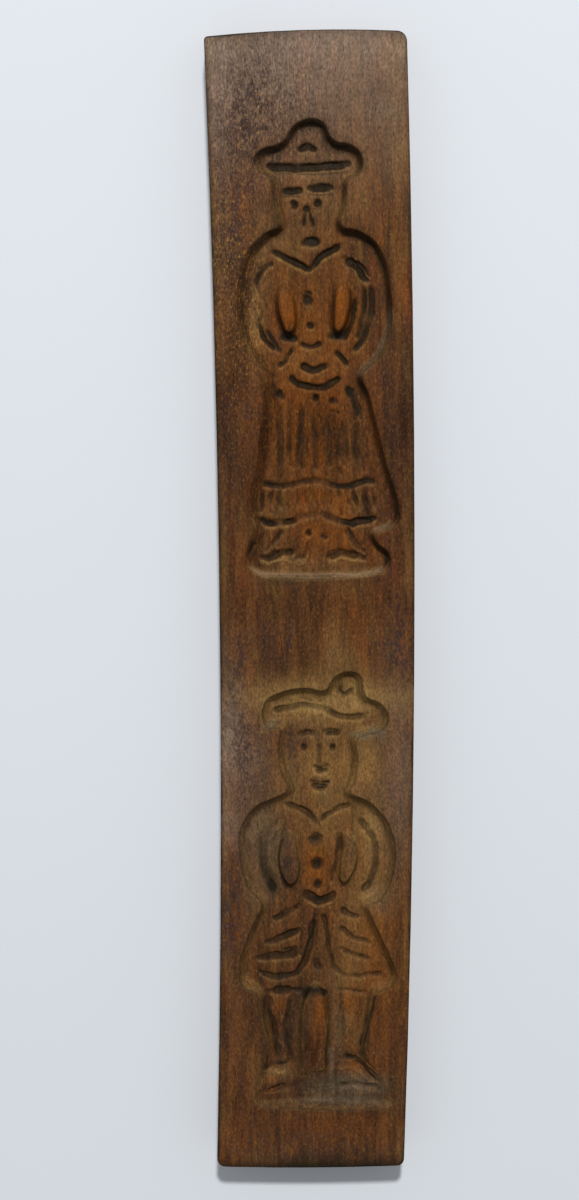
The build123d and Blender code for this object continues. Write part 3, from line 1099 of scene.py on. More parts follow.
@dataclass
class Studio:
    """The pale floor, the soft light from beyond the top end, and the camera."""

    floor_reach: float = 3.0
    floor_drop: float = 0.05 * MM
    target: tuple[float, float, float] = (-8.94 * MM, 9.14 * MM, 20.0 * MM)
    distance: float = 0.9
    tilt: float = 9.775
    roll: float = -0.339
    lens: float = 69.462
    light_height: float = 55.0
    light_bearing: float = 2.5
    light_distance: float = 3.0
    light_size: float = 0.24
    light_share: float = 0.66
    fill: float = 0.34
    sky: Colour = (0.95, 0.98, 1.0, 1.0)

    def build(self) -> None:
        """Set up the floor, the lights and the camera."""
        self.lay_floor()
        self.hang_light()
        self.fill_light()
        self.set_camera()

    def add(self, name: str, data: bpy.types.ID) -> bpy.types.Object:
        """Put a thing into the scene and return its object.

        Args:
            name: What it is called.
            data: Its mesh, lamp or camera.

        Returns:
            Its object.
        """
        thing = bpy.data.objects.new(name, data)
        bpy.context.scene.collection.objects.link(thing)
        return thing

    def lay_floor(self) -> None:
        """Lay the floor just under the plank's back."""
        made = bmesh.new()
        bmesh.ops.create_grid(made, x_segments=8, y_segments=8, size=self.floor_reach)
        bmesh.ops.translate(made, verts=made.verts, vec=(0, 0, -self.floor_drop))
        mesh = bpy.data.meshes.new("pale_floor")
        made.to_mesh(mesh)
        made.free()
        mesh.materials.append(PaleFloor().build())
        self.add("pale_floor", mesh)

    def hang_light(self) -> None:
        """Hang the key light beyond the top end, with the power that the share of light asks for."""
        height, bearing = math.radians(self.light_height), math.radians(self.light_bearing)
        level = math.cos(height)
        towards = Vector((math.sin(bearing) * level, math.cos(bearing) * level, math.sin(height)))
        lamp = bpy.data.lights.new("key_light", "AREA")
        lamp.shape = "DISK"
        lamp.size = self.light_size
        lamp.energy = self.light_share * (math.pi * self.light_distance) ** 2 / math.sin(height)
        light = self.add("key_light", lamp)
        light.location = towards * self.light_distance
        light.rotation_euler = towards.to_track_quat("Z", "Y").to_euler()

    def fill_light(self) -> None:
        """Fill the shadows from all sides."""
        world = bpy.data.worlds.new("studio")
        world.use_nodes = True
        bpy.context.scene.world = world
        bench = NodeBench(world.node_tree)
        fill = bench.result("ShaderNodeBackground", {"Color": self.sky, "Strength": self.fill})
        bench.add("ShaderNodeOutputWorld", {0: fill})

    def set_camera(self) -> None:
        """Put the camera where the photographer stood, nearly straight above the plank."""
        tilt, roll = math.radians(self.tilt), math.radians(self.roll)
        forward = Vector((0, -math.sin(tilt), -math.cos(tilt)))
        level = Vector((1, 0, 0))
        upward = Vector((0, math.cos(tilt), -math.sin(tilt)))
        right = level * math.cos(roll) + upward * math.sin(roll)
        up = upward * math.cos(roll) - level * math.sin(roll)
        lens = bpy.data.cameras.new("camera")
        lens.sensor_width = 36.0
        lens.lens = self.lens
        lens.clip_start = 0.05
        lens.clip_end = 20.0
        camera = self.add("camera", lens)
        turn = Matrix((right, up, -forward)).transposed().to_4x4()
        turn.translation = Vector(self.target) - forward * self.distance
        camera.matrix_world = turn
        bpy.context.scene.camera = camera


# A soft-edged place is x, y, its reach across and along the plank, and its strength
FACE_PATCHES = {
    # Painted glare, strongest over the top end
    Tone.PAINTED_GLARE: (
        (0, 236, 70, 24, 0.66), (0, 200, 70, 30, 0.22), (-34, 196, 6, 30, 0.22),
        (-34, -46, 7, 26, 0.36), (34, -62, 6, 34, 0.2), (-35, -44, 5, 12, 0.12), (-34, 206, 5, 16, 0.1),
        (-34, -82, 6, 9, 0.25), (-24, -54, 7, 14, 0.16),
    ),
    # Soiling, and painted shadow below her raised islands and down her left wall; a strength below 0 takes
    # soiling and painted shade away
    Tone.GRIME_AND_SHADE: (
        (-12, 17.2, 10, 0.9, 0.4), (10, 16.9, 16, 0.7, 0.25), (-23.6, 28.6, 1.8, 2.8, 0.55),
        (-19.5, -97, 3.2, 9, 0.1), (-16, -108, 2, 4, 0.15), (-10.5, -98, 4, 11, 0.3),
        (2.2, -113, 6, 1.7, 0.35), (0.6, -88.6, 2.9, 2.6, 0.3), (1.5, -98.6, 2.5, 2.5, 0.35),
        (1.5, -106.8, 1.5, 1.5, 0.35), (-8.8, 110.6, 3.4, 2.4, 0.42), (9.6, 110.8, 3.2, 1.9, 0.42),
        (8.4, 126, 1.2, 6, 0.45), (-25.8, 133, 1.5, 9, 0.35), (-27, 119, 1.4, 12, 0.2),
        (28.5, 110, 3.5, 12, -0.3), (-1.3, 155.2, 1.5, 2.6, 0.45), (-14.5, 88.5, 3, 3, 0.35),
        (11.8, -27.6, 2.2, 3, 0.3), (0.3, -150.4, 4.4, 2.4, 0.5), (-3.8, -160, 1.8, 10, 0.5),
        (0, -225.5, 60, 4.2, 0.4), (6, -225, 24, 5.5, 0.5), (24, 82, 4, 14, -0.55),
        (27, 58, 4, 16, -0.5), (12, 161, 3, 9, -0.4), (2, 47, 26, 9, -0.34), (2, 26, 24, 5, -0.3),
        (-10, -122, 6, 6, 0.22), (-11, -148, 7, 4, 0.2), (-34, 224, 6, 2.5, 0.4),
        (-11, -166, 4, 12, 0.13), (-12, -210, 10, 8, 0.12), (-12, -136, 8, 16, 0.14),
        (-22, -84, 6, 6, -0.15), (-10, -98, 3.4, 9, 0.25),
    ),
    # Ashen grey, and painted highlight on the lit lower walls of his hat brim and base
    Tone.ASH: (
        (19, -45.4, 4, 1.1, 0.7), (25, -43.6, 3.6, 1.3, 0.7), (-16.5, -40.8, 2.6, 1.4, 0.6),
        (-18, 206, 14, 14, 0.35), (28, 195, 5, 4, 0.3), (13, -191, 17, 5, 0.3),
        (14, -197.6, 17, 2, 0.3), (9, -170, 3, 14, 0.2), (-20, -90, 9, 22, 0.3), (27, -112, 6, 6, 0.25),
    ),
    Tone.SMOKE: (
        # The first smoke patch, below her left raised island, is painted shadow
        (-8.8, 110, 4, 3, 0.4), (26, 116, 4, 18, 0.25), (28, -10, 8, 12, 0.4), (-14, -6, 12, 10, 0.4),
        (-34, -120, 5, 20, 0.3), (27, 202, 6, 6, 0.35), (34, 0, 6, 16, 0.3), (-34, -114, 6, 14, 0.4),
        (-10, -46, 9, 6, 0.5), (3, -47, 8, 5, 0.25), (-33, -95, 6, 8, 0.25), (-22, -109, 6, 8, 0.25),
        (22, -70, 6, 5, 0.35), (-23, 82, 4, 10, 0.35), (32, -121, 6, 10, 0.25),
        (-22, 196, 15, 24, 0.85), (-30, 150, 11, 32, 0.7), (-33, 66, 9, 36, 0.6), (33, 68, 8, 34, 0.6),
        (-27, -48, 7, 32, 0.62), (-35, -16, 6, 20, 0.5), (35, -12, 6, 20, 0.5),
        (-33, -132, 6, 30, 0.35), (-8.5, -57.5, 4, 9, 0.6), (31, -66, 7, 26, 0.35),
        (-22, -88, 6, 20, 0.3), (-10, -97, 4, 10, 0.9), (-10, -168, 7, 16, 0.4),
        (-10, -216, 26, 8, 0.35), (0, -210, 60, 50, 0.25), (4, 70, 22, 36, 0.25),
        (-29, 88, 8, 10, 0.14), (-10, -190, 8, 34, 0.12),
    ),
    Tone.UMBER: (
        (0, 183, 8, 6, 0.3), (0, 158, 10, 12, 0.22), (36, 72, 4, 30, 0.4), (35, -126, 5, 16, 0.35),
        (-5, -16, 10, 9, 0.3), (-2, -174, 4, 10, 0.25), (4, 66, 24, 18, 0.42), (6, 80, 18, 14, 0.3),
        (-19, 74, 3, 22, 0.55), (-33, 64, 9, 46, 0.55), (34, 72, 6, 26, 0.6), (0, 183, 9, 7, 0.25),
        (8, 170, 6, 6, 0.25), (34, 36, 6, 14, 0.3), (34, 6, 6, 8, 0.35), (-33, 95, 7, 10, 0.35),
        (0, -174, 5, 9, 0.35), (25, -200, 9, 6, 0.3), (-22, -198, 8, 8, 0.25), (0, 7, 40, 8, 0.42),
        (0, -14, 22, 12, 0.3), (-15, 154, 2, 14, 0.35), (7, -182, 30, 20, 0.3), (0, -200, 32, 9, 0.24),
        (4, -45, 20, 4, 0.1),
    ),
    Tone.AMBER: (
        (25, 70, 3, 22, 0.35), (9, 76, 3, 12, 0.3), (11, 34, 5, 12, 0.3), (32, -120, 5, 8, 0.3),
        (24, -124, 7, 9, 0.3), (24, -58, 5, 9, 0.15), (12, 46, 4, 5, 0.4), (22, 30, 5, 6, 0.3),
        (2, 88, 14, 10, 0.4), (0, 112, 18, 22, 0.4), (-8.6, 121, 3.4, 10, 0.75), (12, 121, 3.6, 10, 1),
        (-2, 80, 16, 20, 0.45), (2, 58, 14, 14, 0.4), (2, 34, 10, 8, 0.5), (1.5, -99, 5, 10, 0.6),
        (26, -150, 10, 36, 0.25), (3, -160, 2.2, 9, 0.7), (-13, -157, 2.2, 4, 0.8),
        (1, 48.5, 9, 4, 0.35), (13.5, -156, 2.5, 4, 0.5), (14, -183, 5, 2.8, 0.6),
        (4, -207, 22, 7, 0.4), (12, -58, 12, 6, 0.12),
    ),
    Tone.STRAW: (
        (23, -58, 5, 10, 0.3), (24, -84, 4, 10, 0.3), (11, 45, 5, 5, 0.3), (-8, 22, 8, 4, 0.35),
        (11, 22, 8, 4, 0.3), (-3, 99, 9, 7, 0.3), (-22, -82, 3, 6, 0.3), (0, -29.5, 60, 6, 0.55),
        (20, -30, 20, 6, 0.25), (33, 208, 7, 18, 0.25), (33, 178, 6, 12, 0.25), (-22, 184, 8, 8, 0.22),
        (-11, -70, 5, 6, 0.2), (11, -146, 7, 6, 0.25), (24, -58, 5, 9, 0.25), (23, -84, 5, 8, 0.25),
        (-20, -97, 6, 12, 0.25), (-34, 146, 5, 26, 0.22), (-20, 128, 4, 14, 0.3), (-15, 148, 9, 9, 0.3),
        (11, 159, 4, 5, 0.3), (33, 222, 9, 7, 0.2), (-21, -82, 5, 5, 0.3), (2, -31, 24, 11, 0.6),
        (10, -15, 8, 8, 0.45), (8, -4, 2.5, 8, 0.3), (8, -62, 16, 20, 0.5), (24, -92, 7, 22, 0.45),
        (18, -124, 10, 20, 0.35), (0, 168, 14, 16, 0.25), (-21.6, 113, 3, 11, 0.7),
        (-13, -185, 6, 3, 0.4), (13, -167, 5, 9, 0.3), (6, -33, 22, 6, 0.16), (0, -58, 20, 6, 0.2),
        (10, -84, 14, 6, 0.18), (20, 214, 18, 14, 0.15),
    ),
    Tone.RUBBED: (
        (-18, 206, 14, 16, 0.4), (-22, 113, 4, 12, 0.5), (-30, 138, 10, 44, 0.7),
        (-14, 190, 16, 22, 0.45), (-30, -50, 10, 30, 0.3),
    ),
}

# A stroke is its width, its strength or depth, and the points that it runs through
STAIN_SHADE_AND_HIGHLIGHT_STROKES = {
    Tone.SMOKE: (
        (2.6, 0.7, (-9, 1.1), (-9.4, -18.9)), (2.6, 0.6, (-19.6, 0.1), (-19.6, -6.8)),
        (3.4, 0.5, (-28.6, -4.8), (-28.6, -20.9)), (2.2, 0.4, (-14, -4.8), (-14.4, -14.9)),
        (4.5, 0.5, (33.2, 11.2), (33.7, 5.1)), (2.4, 0.4, (2.6, -49.8), (2.7, -51)),
        (1.3, 0.3, (3, -63.6), (5, -63.4)),
    ),
    # Ashen grey, with painted highlight on lit lower walls
    Tone.ASH: (
        (4.6, 0.26, (-4, -197.6), (14.1, -197.4), (26.2, -197.2)), (14, 0.3, (0, -191.2), (25, -191.2)),
        (3, 0.35, (6.4, -176), (6.4, -185)),
        (3, 0.5, (30.4, 121), (29.2, 111.7), (26.4, 105), (22.7, 100.3), (18.6, 96.6)),
    ),
    Tone.UMBER: (
        (1.6, 0.3, (-20.1, -202.4), (29.2, -202.4)), (1.2, 0.4, (-0.4, 165.6), (7.2, 165.4)),
        (3.2, 0.5, (-4, 83.6), (-4.4, 69.5), (-4.6, 60.4)),
        (2.6, 0.35, (2.1, 87.6), (2.5, 71.5), (2.1, 61.4)), (3.2, 0.35, (7.7, 81.6), (8.7, 65.5)),
        (2.2, 0.35, (-12.4, 83.6), (-12.6, 63.5)), (3.2, 0.3, (16.1, 81.6), (17.7, 65.5)),
    ),
    Tone.STRAW: (
        (0.9, 0.7, (-22.1, 114.7), (-21.6, 114.4)), (0.9, 0.7, (28.7, -101.3), (29.2, -101.6)),
        (0.9, 0.7, (-26.6, -166.6), (-26.1, -166.9)), (0.9, 0.7, (-17.4, -3.8), (-16.9, -4.1)),
        (1.1, 0.5, (-21.3, 129.8), (-20.9, 123.8), (-20.7, 117.8)),
        (3, 0.4, (-14.2, -170), (-13.6, -178)), (4.4, 0.3, (-18, -184.6), (-10.6, -185.2)),
        # The straw stroke in his mouth is a painted highlight
        (5, 0.35, (11.4, -183), (18.4, -186.6)), (1.5, 0.8, (2.4, -66.3), (3.1, -66.4)),
    ),
    # Strokes of soiling and painted shade along the cuts and below raised parts
    Tone.GRIME_AND_SHADE: (
        # Her hat and face
        (2, 0.3, (-14.6, 169), (-14.4, 160), (-12, 150.9)),
        (1.2, 0.3, (-21.1, 176.5), (-19.6, 172.9), (-16, 171.3)), (1.8, 0.35, (-2.3, 157), (-2.6, 152)),
        (1.2, 0.35, (0, 156.8), (0.9, 153.6)),
        # Her neck, bodice and sleeves
        (1.8, 0.4, (-26.7, 123.8), (-25.7, 114.7), (-23.5, 107.3), (-19.1, 100.7), (-14.5, 95.6)),
        (2.4, 0.4, (-17.5, 113.2), (-15.5, 109.2), (-12.3, 105.3)),
        (1.6, 0.5, (-19.9, 122.8), (-18.7, 120.3), (-19.7, 117.4)),
        (2.6, 0.2, (-17, 127.8), (-17.4, 119.8), (-16, 112.7)),
        (1.3, 0.35, (-2.4, 147.9), (0.4, 148.3), (2.6, 147.8)),
        # Her waist and skirt
        (3.4, 0.4, (-15, 92.2), (-12.6, 89.2)), (3.2, 0.3, (13.9, 90.8), (16.1, 87.2), (17.7, 81.6)),
        (1.5, 0.5, (13.4, 91.2), (15.6, 90.2)), (1.2, 0.45, (14, 88.6), (16.6, 87.6)),
        (1.1, 0.45, (15.2, 86.2), (17.6, 85.4)), (2.6, 0.3, (18.8, 94.1), (21.4, 89.6)),
        (1.8, 0.4, (0.5, 89), (1.7, 87.6)),
        # Her ruffle, feet and ground
        (2.8, 0.2, (-20.1, 54.8), (-15.5, 54.2)), (2.2, 0.25, (10.1, 52.8), (15.7, 52.4)),
        (2.2, 0.3, (20.2, 54.4), (24.8, 54.6)), (2.8, 0.35, (-20.1, 39.7), (-15.6, 38.3)),
        (2.8, 0.35, (11.9, 38.3), (16.5, 36.9)), (1.8, 0.35, (18.1, 40.3), (24.8, 40.3)),
        (1.5, 0.4, (-12, 41.8), (-9, 41.8)), (1.4, 0.4, (-5.6, 42.5), (-3.6, 42.5)),
        (1.4, 0.35, (-1, 42.9), (0.7, 42.9)), (1.4, 0.35, (4.1, 42.7), (5.3, 42.1)),
        (2.2, 0.5, (4.5, 33.7), (5.2, 33.1)), (2.2, 0.3, (-1.3, 35.4), (-1, 34.7)),
        # His hat and face, and the wood above
        (3.2, 0.34, (2.6, -50.2), (2.4, -58.4)), (1.8, 0.3, (4, -57.7), (5.9, -57.2)),
        (2, 0.45, (-1, -64.2), (0.8, -63)), (1, 0.4, (2, -67.3), (4.2, -67.2)),
        (1.4, 0.45, (4.4, -65), (6.4, -64.8)), (3.2, 0.25, (-3.8, -49), (-3.7, -50.6)),
        (2.8, 0.4, (7.5, -49.8), (7.8, -49.7)), (1.6, 0.3, (0.4, -58.4), (2.2, -59.7), (3.6, -59.4)),
        (3.2, 0.25, (0.2, -65.1), (3.1, -65.9), (6.1, -65.3)), (1.5, 0.4, (0.9, -63.5), (5.4, -63.6)),
        # His chest and arms
        (6, 0.46, (-18.6, -84), (-20.6, -91), (-19.8, -98), (-17.4, -104), (-15.6, -109.3)),
        # His coat
        (1.5, 0.45, (0.4, -117.4), (-0.4, -123.5), (-2.2, -131), (-4.6, -137.5)),
        # His legs, boots and base
        (2.2, 0.4, (-19.7, -153.6), (-18, -161.6), (-16.4, -169.6), (-15, -177.7), (-13, -181.7)),
        (5.6, 0.24, (-8, -153.6), (-10, -161.6), (-10.4, -169.6), (-10, -176.7)),
        (2.4, 0.45, (5.1, -154.6), (6.3, -163.6), (5.7, -173.7), (4.5, -181.7)),
        (2.8, 0.5, (24.6, -153.1), (22.2, -161.6), (20.1, -169.6), (18.5, -177.7)),
        (1.7, 0.35, (11.1, -179.5), (16.6, -179.7), (20.1, -182.7), (24.8, -187.2)),
        (2.2, 0.25, (9.1, -190.8), (16.1, -189.1), (24.2, -190.8)),
        (2.4, 0.5, (-19.5, -182.4), (-16, -181.2), (-10.6, -180.8)),
        (5, 0.3, (-9.4, -162), (-9.6, -171), (-9.2, -179)),
        (3.6, 0.35, (11.5, -177.4), (16.5, -179.4), (20, -182.4), (24, -186)),
        (3.4, 0.3, (-20.6, -190.9), (-15, -190.2), (-8, -189.4)),
        (2.2, 0.25, (-7, -182.4), (-6.6, -189.4)), (2.2, 0.3, (8.6, -178.6), (8.2, -189)),
        (2.4, 0.3, (-21, -153), (-19.4, -164), (-17.6, -174), (-19.6, -184)),
        (2.8, 0.55, (-4.6, -153.1), (-2, -150.4), (1.6, -149.8), (4.7, -152.6)),
    ),
    Tone.AMBER: (
        (2.6, 0.5, (11.6, -171.4), (12, -175.4)),
        (1.4, 0.8, (-14.8, 86.6), (-14.2, 73.5), (-14.8, 61.4)), (1.7, 0.6, (-7, 87.6), (-6.6, 63.5)),
        (1.4, 0.6, (-0.6, 83.6), (-0.8, 61.4)), (1.3, 0.6, (3.5, 79.5), (3.4, 61.4)),
    ),
}

CUTS_AND_DENTS = (
    # Her hat and face
    (3.2, 1.2, (-9.6, 165.6), (-4.2, 165.9)), (2.8, 1.2, (0, 166.9), (4.1, 167.4), (7.3, 167)),
    (2.7, 1, (-9.8, 165.5), (-4, 166)), (2.5, 1, (-0.4, 166.8), (3.1, 167.4), (7.7, 166.9)),
    (2.9, 1.2, (-15.7, 175), (0, 174.7), (14.3, 175.7)), (1.3, 0.65, (-1.7, 158), (-2.9, 153)),
    (0.8, 0.45, (-10.4, 163.7), (-4.2, 163.5)), (0.8, 0.4, (-0.6, 164.4), (4, 164), (8.2, 164.6)),
    (0.7, 0.45, (1.4, 159.1), (2.6, 158.6), (3.9, 159.3)), (3, 0.9, (-6.6, 161.2), (-5.9, 160.6)),
    (3, 0.9, (2.3, 161.6), (2.8, 161)), (1.2, 0.6, (-0.8, 158.6), (0.4, 154.2)),
    (2.6, 1, (-1.2, 158.9), (-1.1, 158.5)), (1, 0.4, (-15, 172.3), (0, 171.7), (13.1, 172.5)),
    # Her neck, bodice and sleeves
    (1.1, 0.35, (-26.3, 125.8), (-25.5, 114.7), (-23.1, 106.7), (-18.7, 100.1), (-14, 95.2)),
    (1.3, 0.7, (-19.7, 122.8), (-18.5, 120.2), (-19.5, 117.8)),
    (2.2, 0.9, (-13, 142.7), (-7, 139.5), (-0.6, 136.3), (3.5, 140.3), (10.9, 145.3)),
    (2.2, 0.6, (-16.5, 112.7), (-12.4, 105.7)),
    (1.6, 0.5, (-22.6, 141.4), (-25.9, 133.8), (-26.5, 125.8)),
    (3.2, 0.8, (-10.4, 110.5), (-6.4, 109.9)), (3, 0.8, (7.3, 110.9), (11.3, 110.5)),
    (1.3, 0.6, (16.3, 121.8), (15.5, 115.7), (12.7, 111.3)), (2.2, 0.9, (-19.6, 136.5), (-15.2, 138.3)),
    (2.2, 0.6, (12.4, 140.6), (14.6, 139.6)), (1.2, 0.6, (13, 138.2), (16.8, 136.4)),
    (0.9, 0.4, (14, 136.6), (16.4, 135.2)), (1.6, 0.6, (-19.3, 121.8), (-19.1, 118.4)),
    (2, 0.8, (-1.5, 127.4), (-0.3, 127)), (0.7, 0.4, (-3.8, 123.3), (-3.2, 121.4), (-0.6, 121)),
    (3, 1.1, (-0.6, 115.1), (-0.5, 114.9)), (1.8, 1, (-3, 137.9), (-0.4, 135.9), (3.1, 139.9)),
    # Her waist and skirt
    (2.6, 0.8, (-12.5, 88.6), (-11, 87.6)), (2.2, 0.7, (-16.8, 92.6), (-15.4, 90)),
    (2, 0.7, (1.3, 87.9), (1.5, 86.8)), (2.2, 0.9, (8.4, 86.6), (9.3, 85.6)),
    (1.2, 0.5, (8.1, 82), (10.5, 81.4)), (2.4, 0.8, (14.1, 90.8), (15.3, 89)),
    (0.8, 0.5, (14.7, 87.4), (17.1, 88.2)), (0.9, 0.6, (15.3, 85.8), (17.7, 86.6)),
    (1.3, 0.6, (16.9, 84.8), (17.5, 82)), (1.3, 0.5, (18, 82.5), (18.9, 79.4)),
    (1.8, 0.45, (-12.3, 83.6), (-12.4, 61.4)), (1.3, 0.35, (-8, 79.5), (-8.3, 61.4)),
    (2.3, 0.5, (-3.6, 81.6), (-3.4, 60.4)), (1.5, 0.45, (1, 81.6), (1.3, 60.4)),
    (2.4, 0.5, (6.3, 79.5), (6.9, 60.9)), (1.6, 0.4, (11.7, 77.5), (12.5, 61.4)),
    (1.5, 0.35, (17.1, 74.5), (18.1, 63.5)), (1.5, 0.5, (0.7, 60.4), (2.1, 60)),
    (1.3, 0.5, (16.7, 72.9), (17.1, 72.1)),
    # Her ruffle, feet and ground
    (1.4, 0.5, (10.5, 59.4), (11.5, 57.8)), (2.4, 0.9, (-20.1, 55), (-15, 54.4)),
    (2.2, 0.9, (10.1, 53.4), (15.6, 53)), (2.2, 0.8, (20.2, 54.8), (24.2, 54.4)),
    (2.5, 1, (-21.1, 40.3), (-15.5, 39.1)), (2.4, 0.9, (11.6, 39.3), (15.9, 37.7)),
    (2.2, 1, (17.6, 39.7), (24.2, 40.3)), (1.4, 0.6, (-20.9, 49.4), (-20.7, 42.3)),
    (1.7, 0.8, (-16.6, 49.4), (-16, 42.9)), (1.2, 0.5, (-12.6, 49.9), (-12, 43.3)),
    (1.7, 0.8, (10.9, 49.9), (11.5, 41.8)), (1.2, 0.6, (15.5, 50.9), (15.7, 47.4)),
    (1.9, 0.9, (19.8, 50.4), (21.6, 41.8)), (2.2, 0.9, (-22.7, 30.3), (-24.5, 26.7)),
    (2.4, 1, (-1.2, 35.5), (-1, 34.7)), (2.8, 1.3, (4.5, 33.7), (5.3, 33.1)),
    (1.7, 0.7, (-12.4, 34.7), (-15.4, 30.8)),
    (2, 0.9, (-19.7, 25.2), (-17, 24.2), (-15, 26.9), (-8.4, 27.9)),
    (2.4, 0.9, (-11.5, 27.9), (-8, 27.5)), (1.1, 0.5, (-6, 24.8), (-2.6, 25)),
    (0.8, 0.4, (-1, 29.8), (-0.9, 21.8)),
    (1.9, 0.9, (6.5, 26.7), (10.6, 27.9), (16.1, 27.3), (20.2, 24.6)),
    (2, 0.8, (15.3, 33.3), (17.1, 29.7), (20.2, 27.7)),
    (1.4, 0.8, (24.2, 30.1), (27.8, 27.7), (29.8, 24)),
    # His hat and face, and the wood above
    (0.9, 0.5, (-15, -34.4), (-4, -34.2), (4.1, -35.4), (12.1, -38.4), (19.1, -38.6), (22.2, -37)),
    (1.2, 0.5, (-15, -32.8), (-8, -31.6), (-2, -31.5), (3.5, -32.2)),
    (2.4, 0.35, (-14, -33.6), (-6, -33)), (1.9, 0.8, (-5.5, -45.4), (-3, -44.2), (0, -44.6)),
    (1.9, 0.8, (4.6, -44.4), (7.1, -43.8), (10.5, -44.4)), (2.8, 0.9, (-3.8, -50.7), (-3.6, -50.3)),
    (2.6, 0.9, (7.7, -50.6), (7.9, -50.3)), (2.6, 0.5, (2.6, -50.4), (2.5, -57.6)),
    (2.2, 0.7, (0.6, -58.5), (3.1, -59.3), (5.7, -58.3)),
    (1.7, 0.7, (-0.2, -64.7), (3.1, -65.1), (6, -64.8)),
    # His chest and arms
    (1.5, 0.9, (-1.5, -87.8), (0.8, -85.8), (3.1, -87.2), (3.1, -89.7), (1, -91.1), (-1.2, -89.9),
     (-1.5, -87.8)),
    (1.4, 0.9, (-0.4, -97.9), (1.3, -96.3), (3.3, -97.7), (3.1, -99.7), (1.3, -100.5), (-0.3, -99.5),
     (-0.4, -97.9)),
    (4.6, 0.35, (-18.2, -83.6), (-20.7, -90.2), (-20, -98.3), (-16.4, -108.8)),
    (1.3, 0.6, (9.7, -85.8), (9.5, -95.3), (7.1, -105.3)),
    (1.6, 0.5, (-12, -85.2), (-14, -93.3), (-13.6, -101.3), (-11, -108.3)),
    (5.6, 0.7, (0.4, -87.8), (1.2, -88.4)), (6.4, 0.85, (1.3, -98.1), (1.9, -98.3)),
    (3.8, 1.1, (1.5, -106.3), (1.7, -106.5)), (1.4, 0.8, (10.9, -86.2), (9.3, -93.3), (7.3, -105.3)),
    (0.8, 0.5, (12.7, -86.6), (16.7, -90.3)),
    # His coat
    (1.6, 0.8, (-16, -120.8), (-10, -118.4), (-6, -115.2)),
    (2.1, 0.9, (-19.1, -130.9), (-12, -128.4), (-6, -125.6)),
    (2.3, 1, (-22.1, -137.3), (-14, -136.1), (-7, -134.1)), (2.4, 0.9, (-12, -134.3), (-7, -133.5)),
    (2, 0.9, (-21.5, -143.1), (-18, -144.9), (-10, -144.5)), (1.8, 0.9, (11.1, -125.4), (14.1, -127.8)),
    (2, 0.9, (11.1, -133.5), (15.1, -135.9)), (1.6, 0.8, (20.1, -130.5), (22.2, -131.1)),
    (3.4, 0.9, (1.2, -138.9), (2.2, -141.3)), (1.2, 0.7, (0.6, -119.4), (0, -125.4)),
    # His legs, boots and base
    (2.8, 0.6, (24.2, -154.1), (21.6, -163.6), (18.9, -172.7)),
    (2.6, 0.6, (10.6, -179.7), (16.1, -179.7)), (2, 0.6, (-15, -182.3), (-10.4, -182.3)),
    (2.2, 0.7, (25, -152.6), (22.8, -161.6), (20.7, -170.7), (19.7, -176.7)),
    (1.2, 0.6, (4.5, -152.6), (6.3, -161.6), (5.9, -171.7), (4.5, -179.7)),
    (1.2, 0.5, (-24.1, -153.6), (-22.1, -161.6), (-19.5, -170.7), (-18.6, -178.7)),
    (2.6, 0.9, (-3.8, -152.4), (0.6, -149.4), (4.3, -152)),
    (2.2, 0.9, (-19, -151.4), (-12, -150.8), (-5, -150.9)),
    (2.6, 0.7, (-18.8, -152.6), (-19.3, -157.6), (-17.6, -162.6), (-15.6, -171.7), (-14.4, -179.7)),
    (3.2, 0.45, (-8.6, -152.6), (-10.8, -159.6), (-11, -167.6), (-9.6, -179.7)),
    (2.6, 1.1, (-11, -170.3), (-9.6, -171.7)), (1.7, 0.8, (-14, -182.3), (-10.6, -181.7)),
    (1.8, 0.8, (-4.8, -185.9), (-3.8, -185.5)),
    (2.6, 0.4, (-20.1, -192.8), (-15, -192.2), (-9.5, -191.8)),
    (1.7, 0.8, (12.1, -179.3), (16.5, -179.1)),
    (1.2, 0.7, (18.1, -179.7), (21.6, -183.1), (25.2, -185.9)),
    (1.4, 0.4, (12.1, -189.7), (20.1, -190.2)),
    (1.3, 0.5, (10.7, -152.6), (11.7, -161.6), (12.7, -171.7)),
)

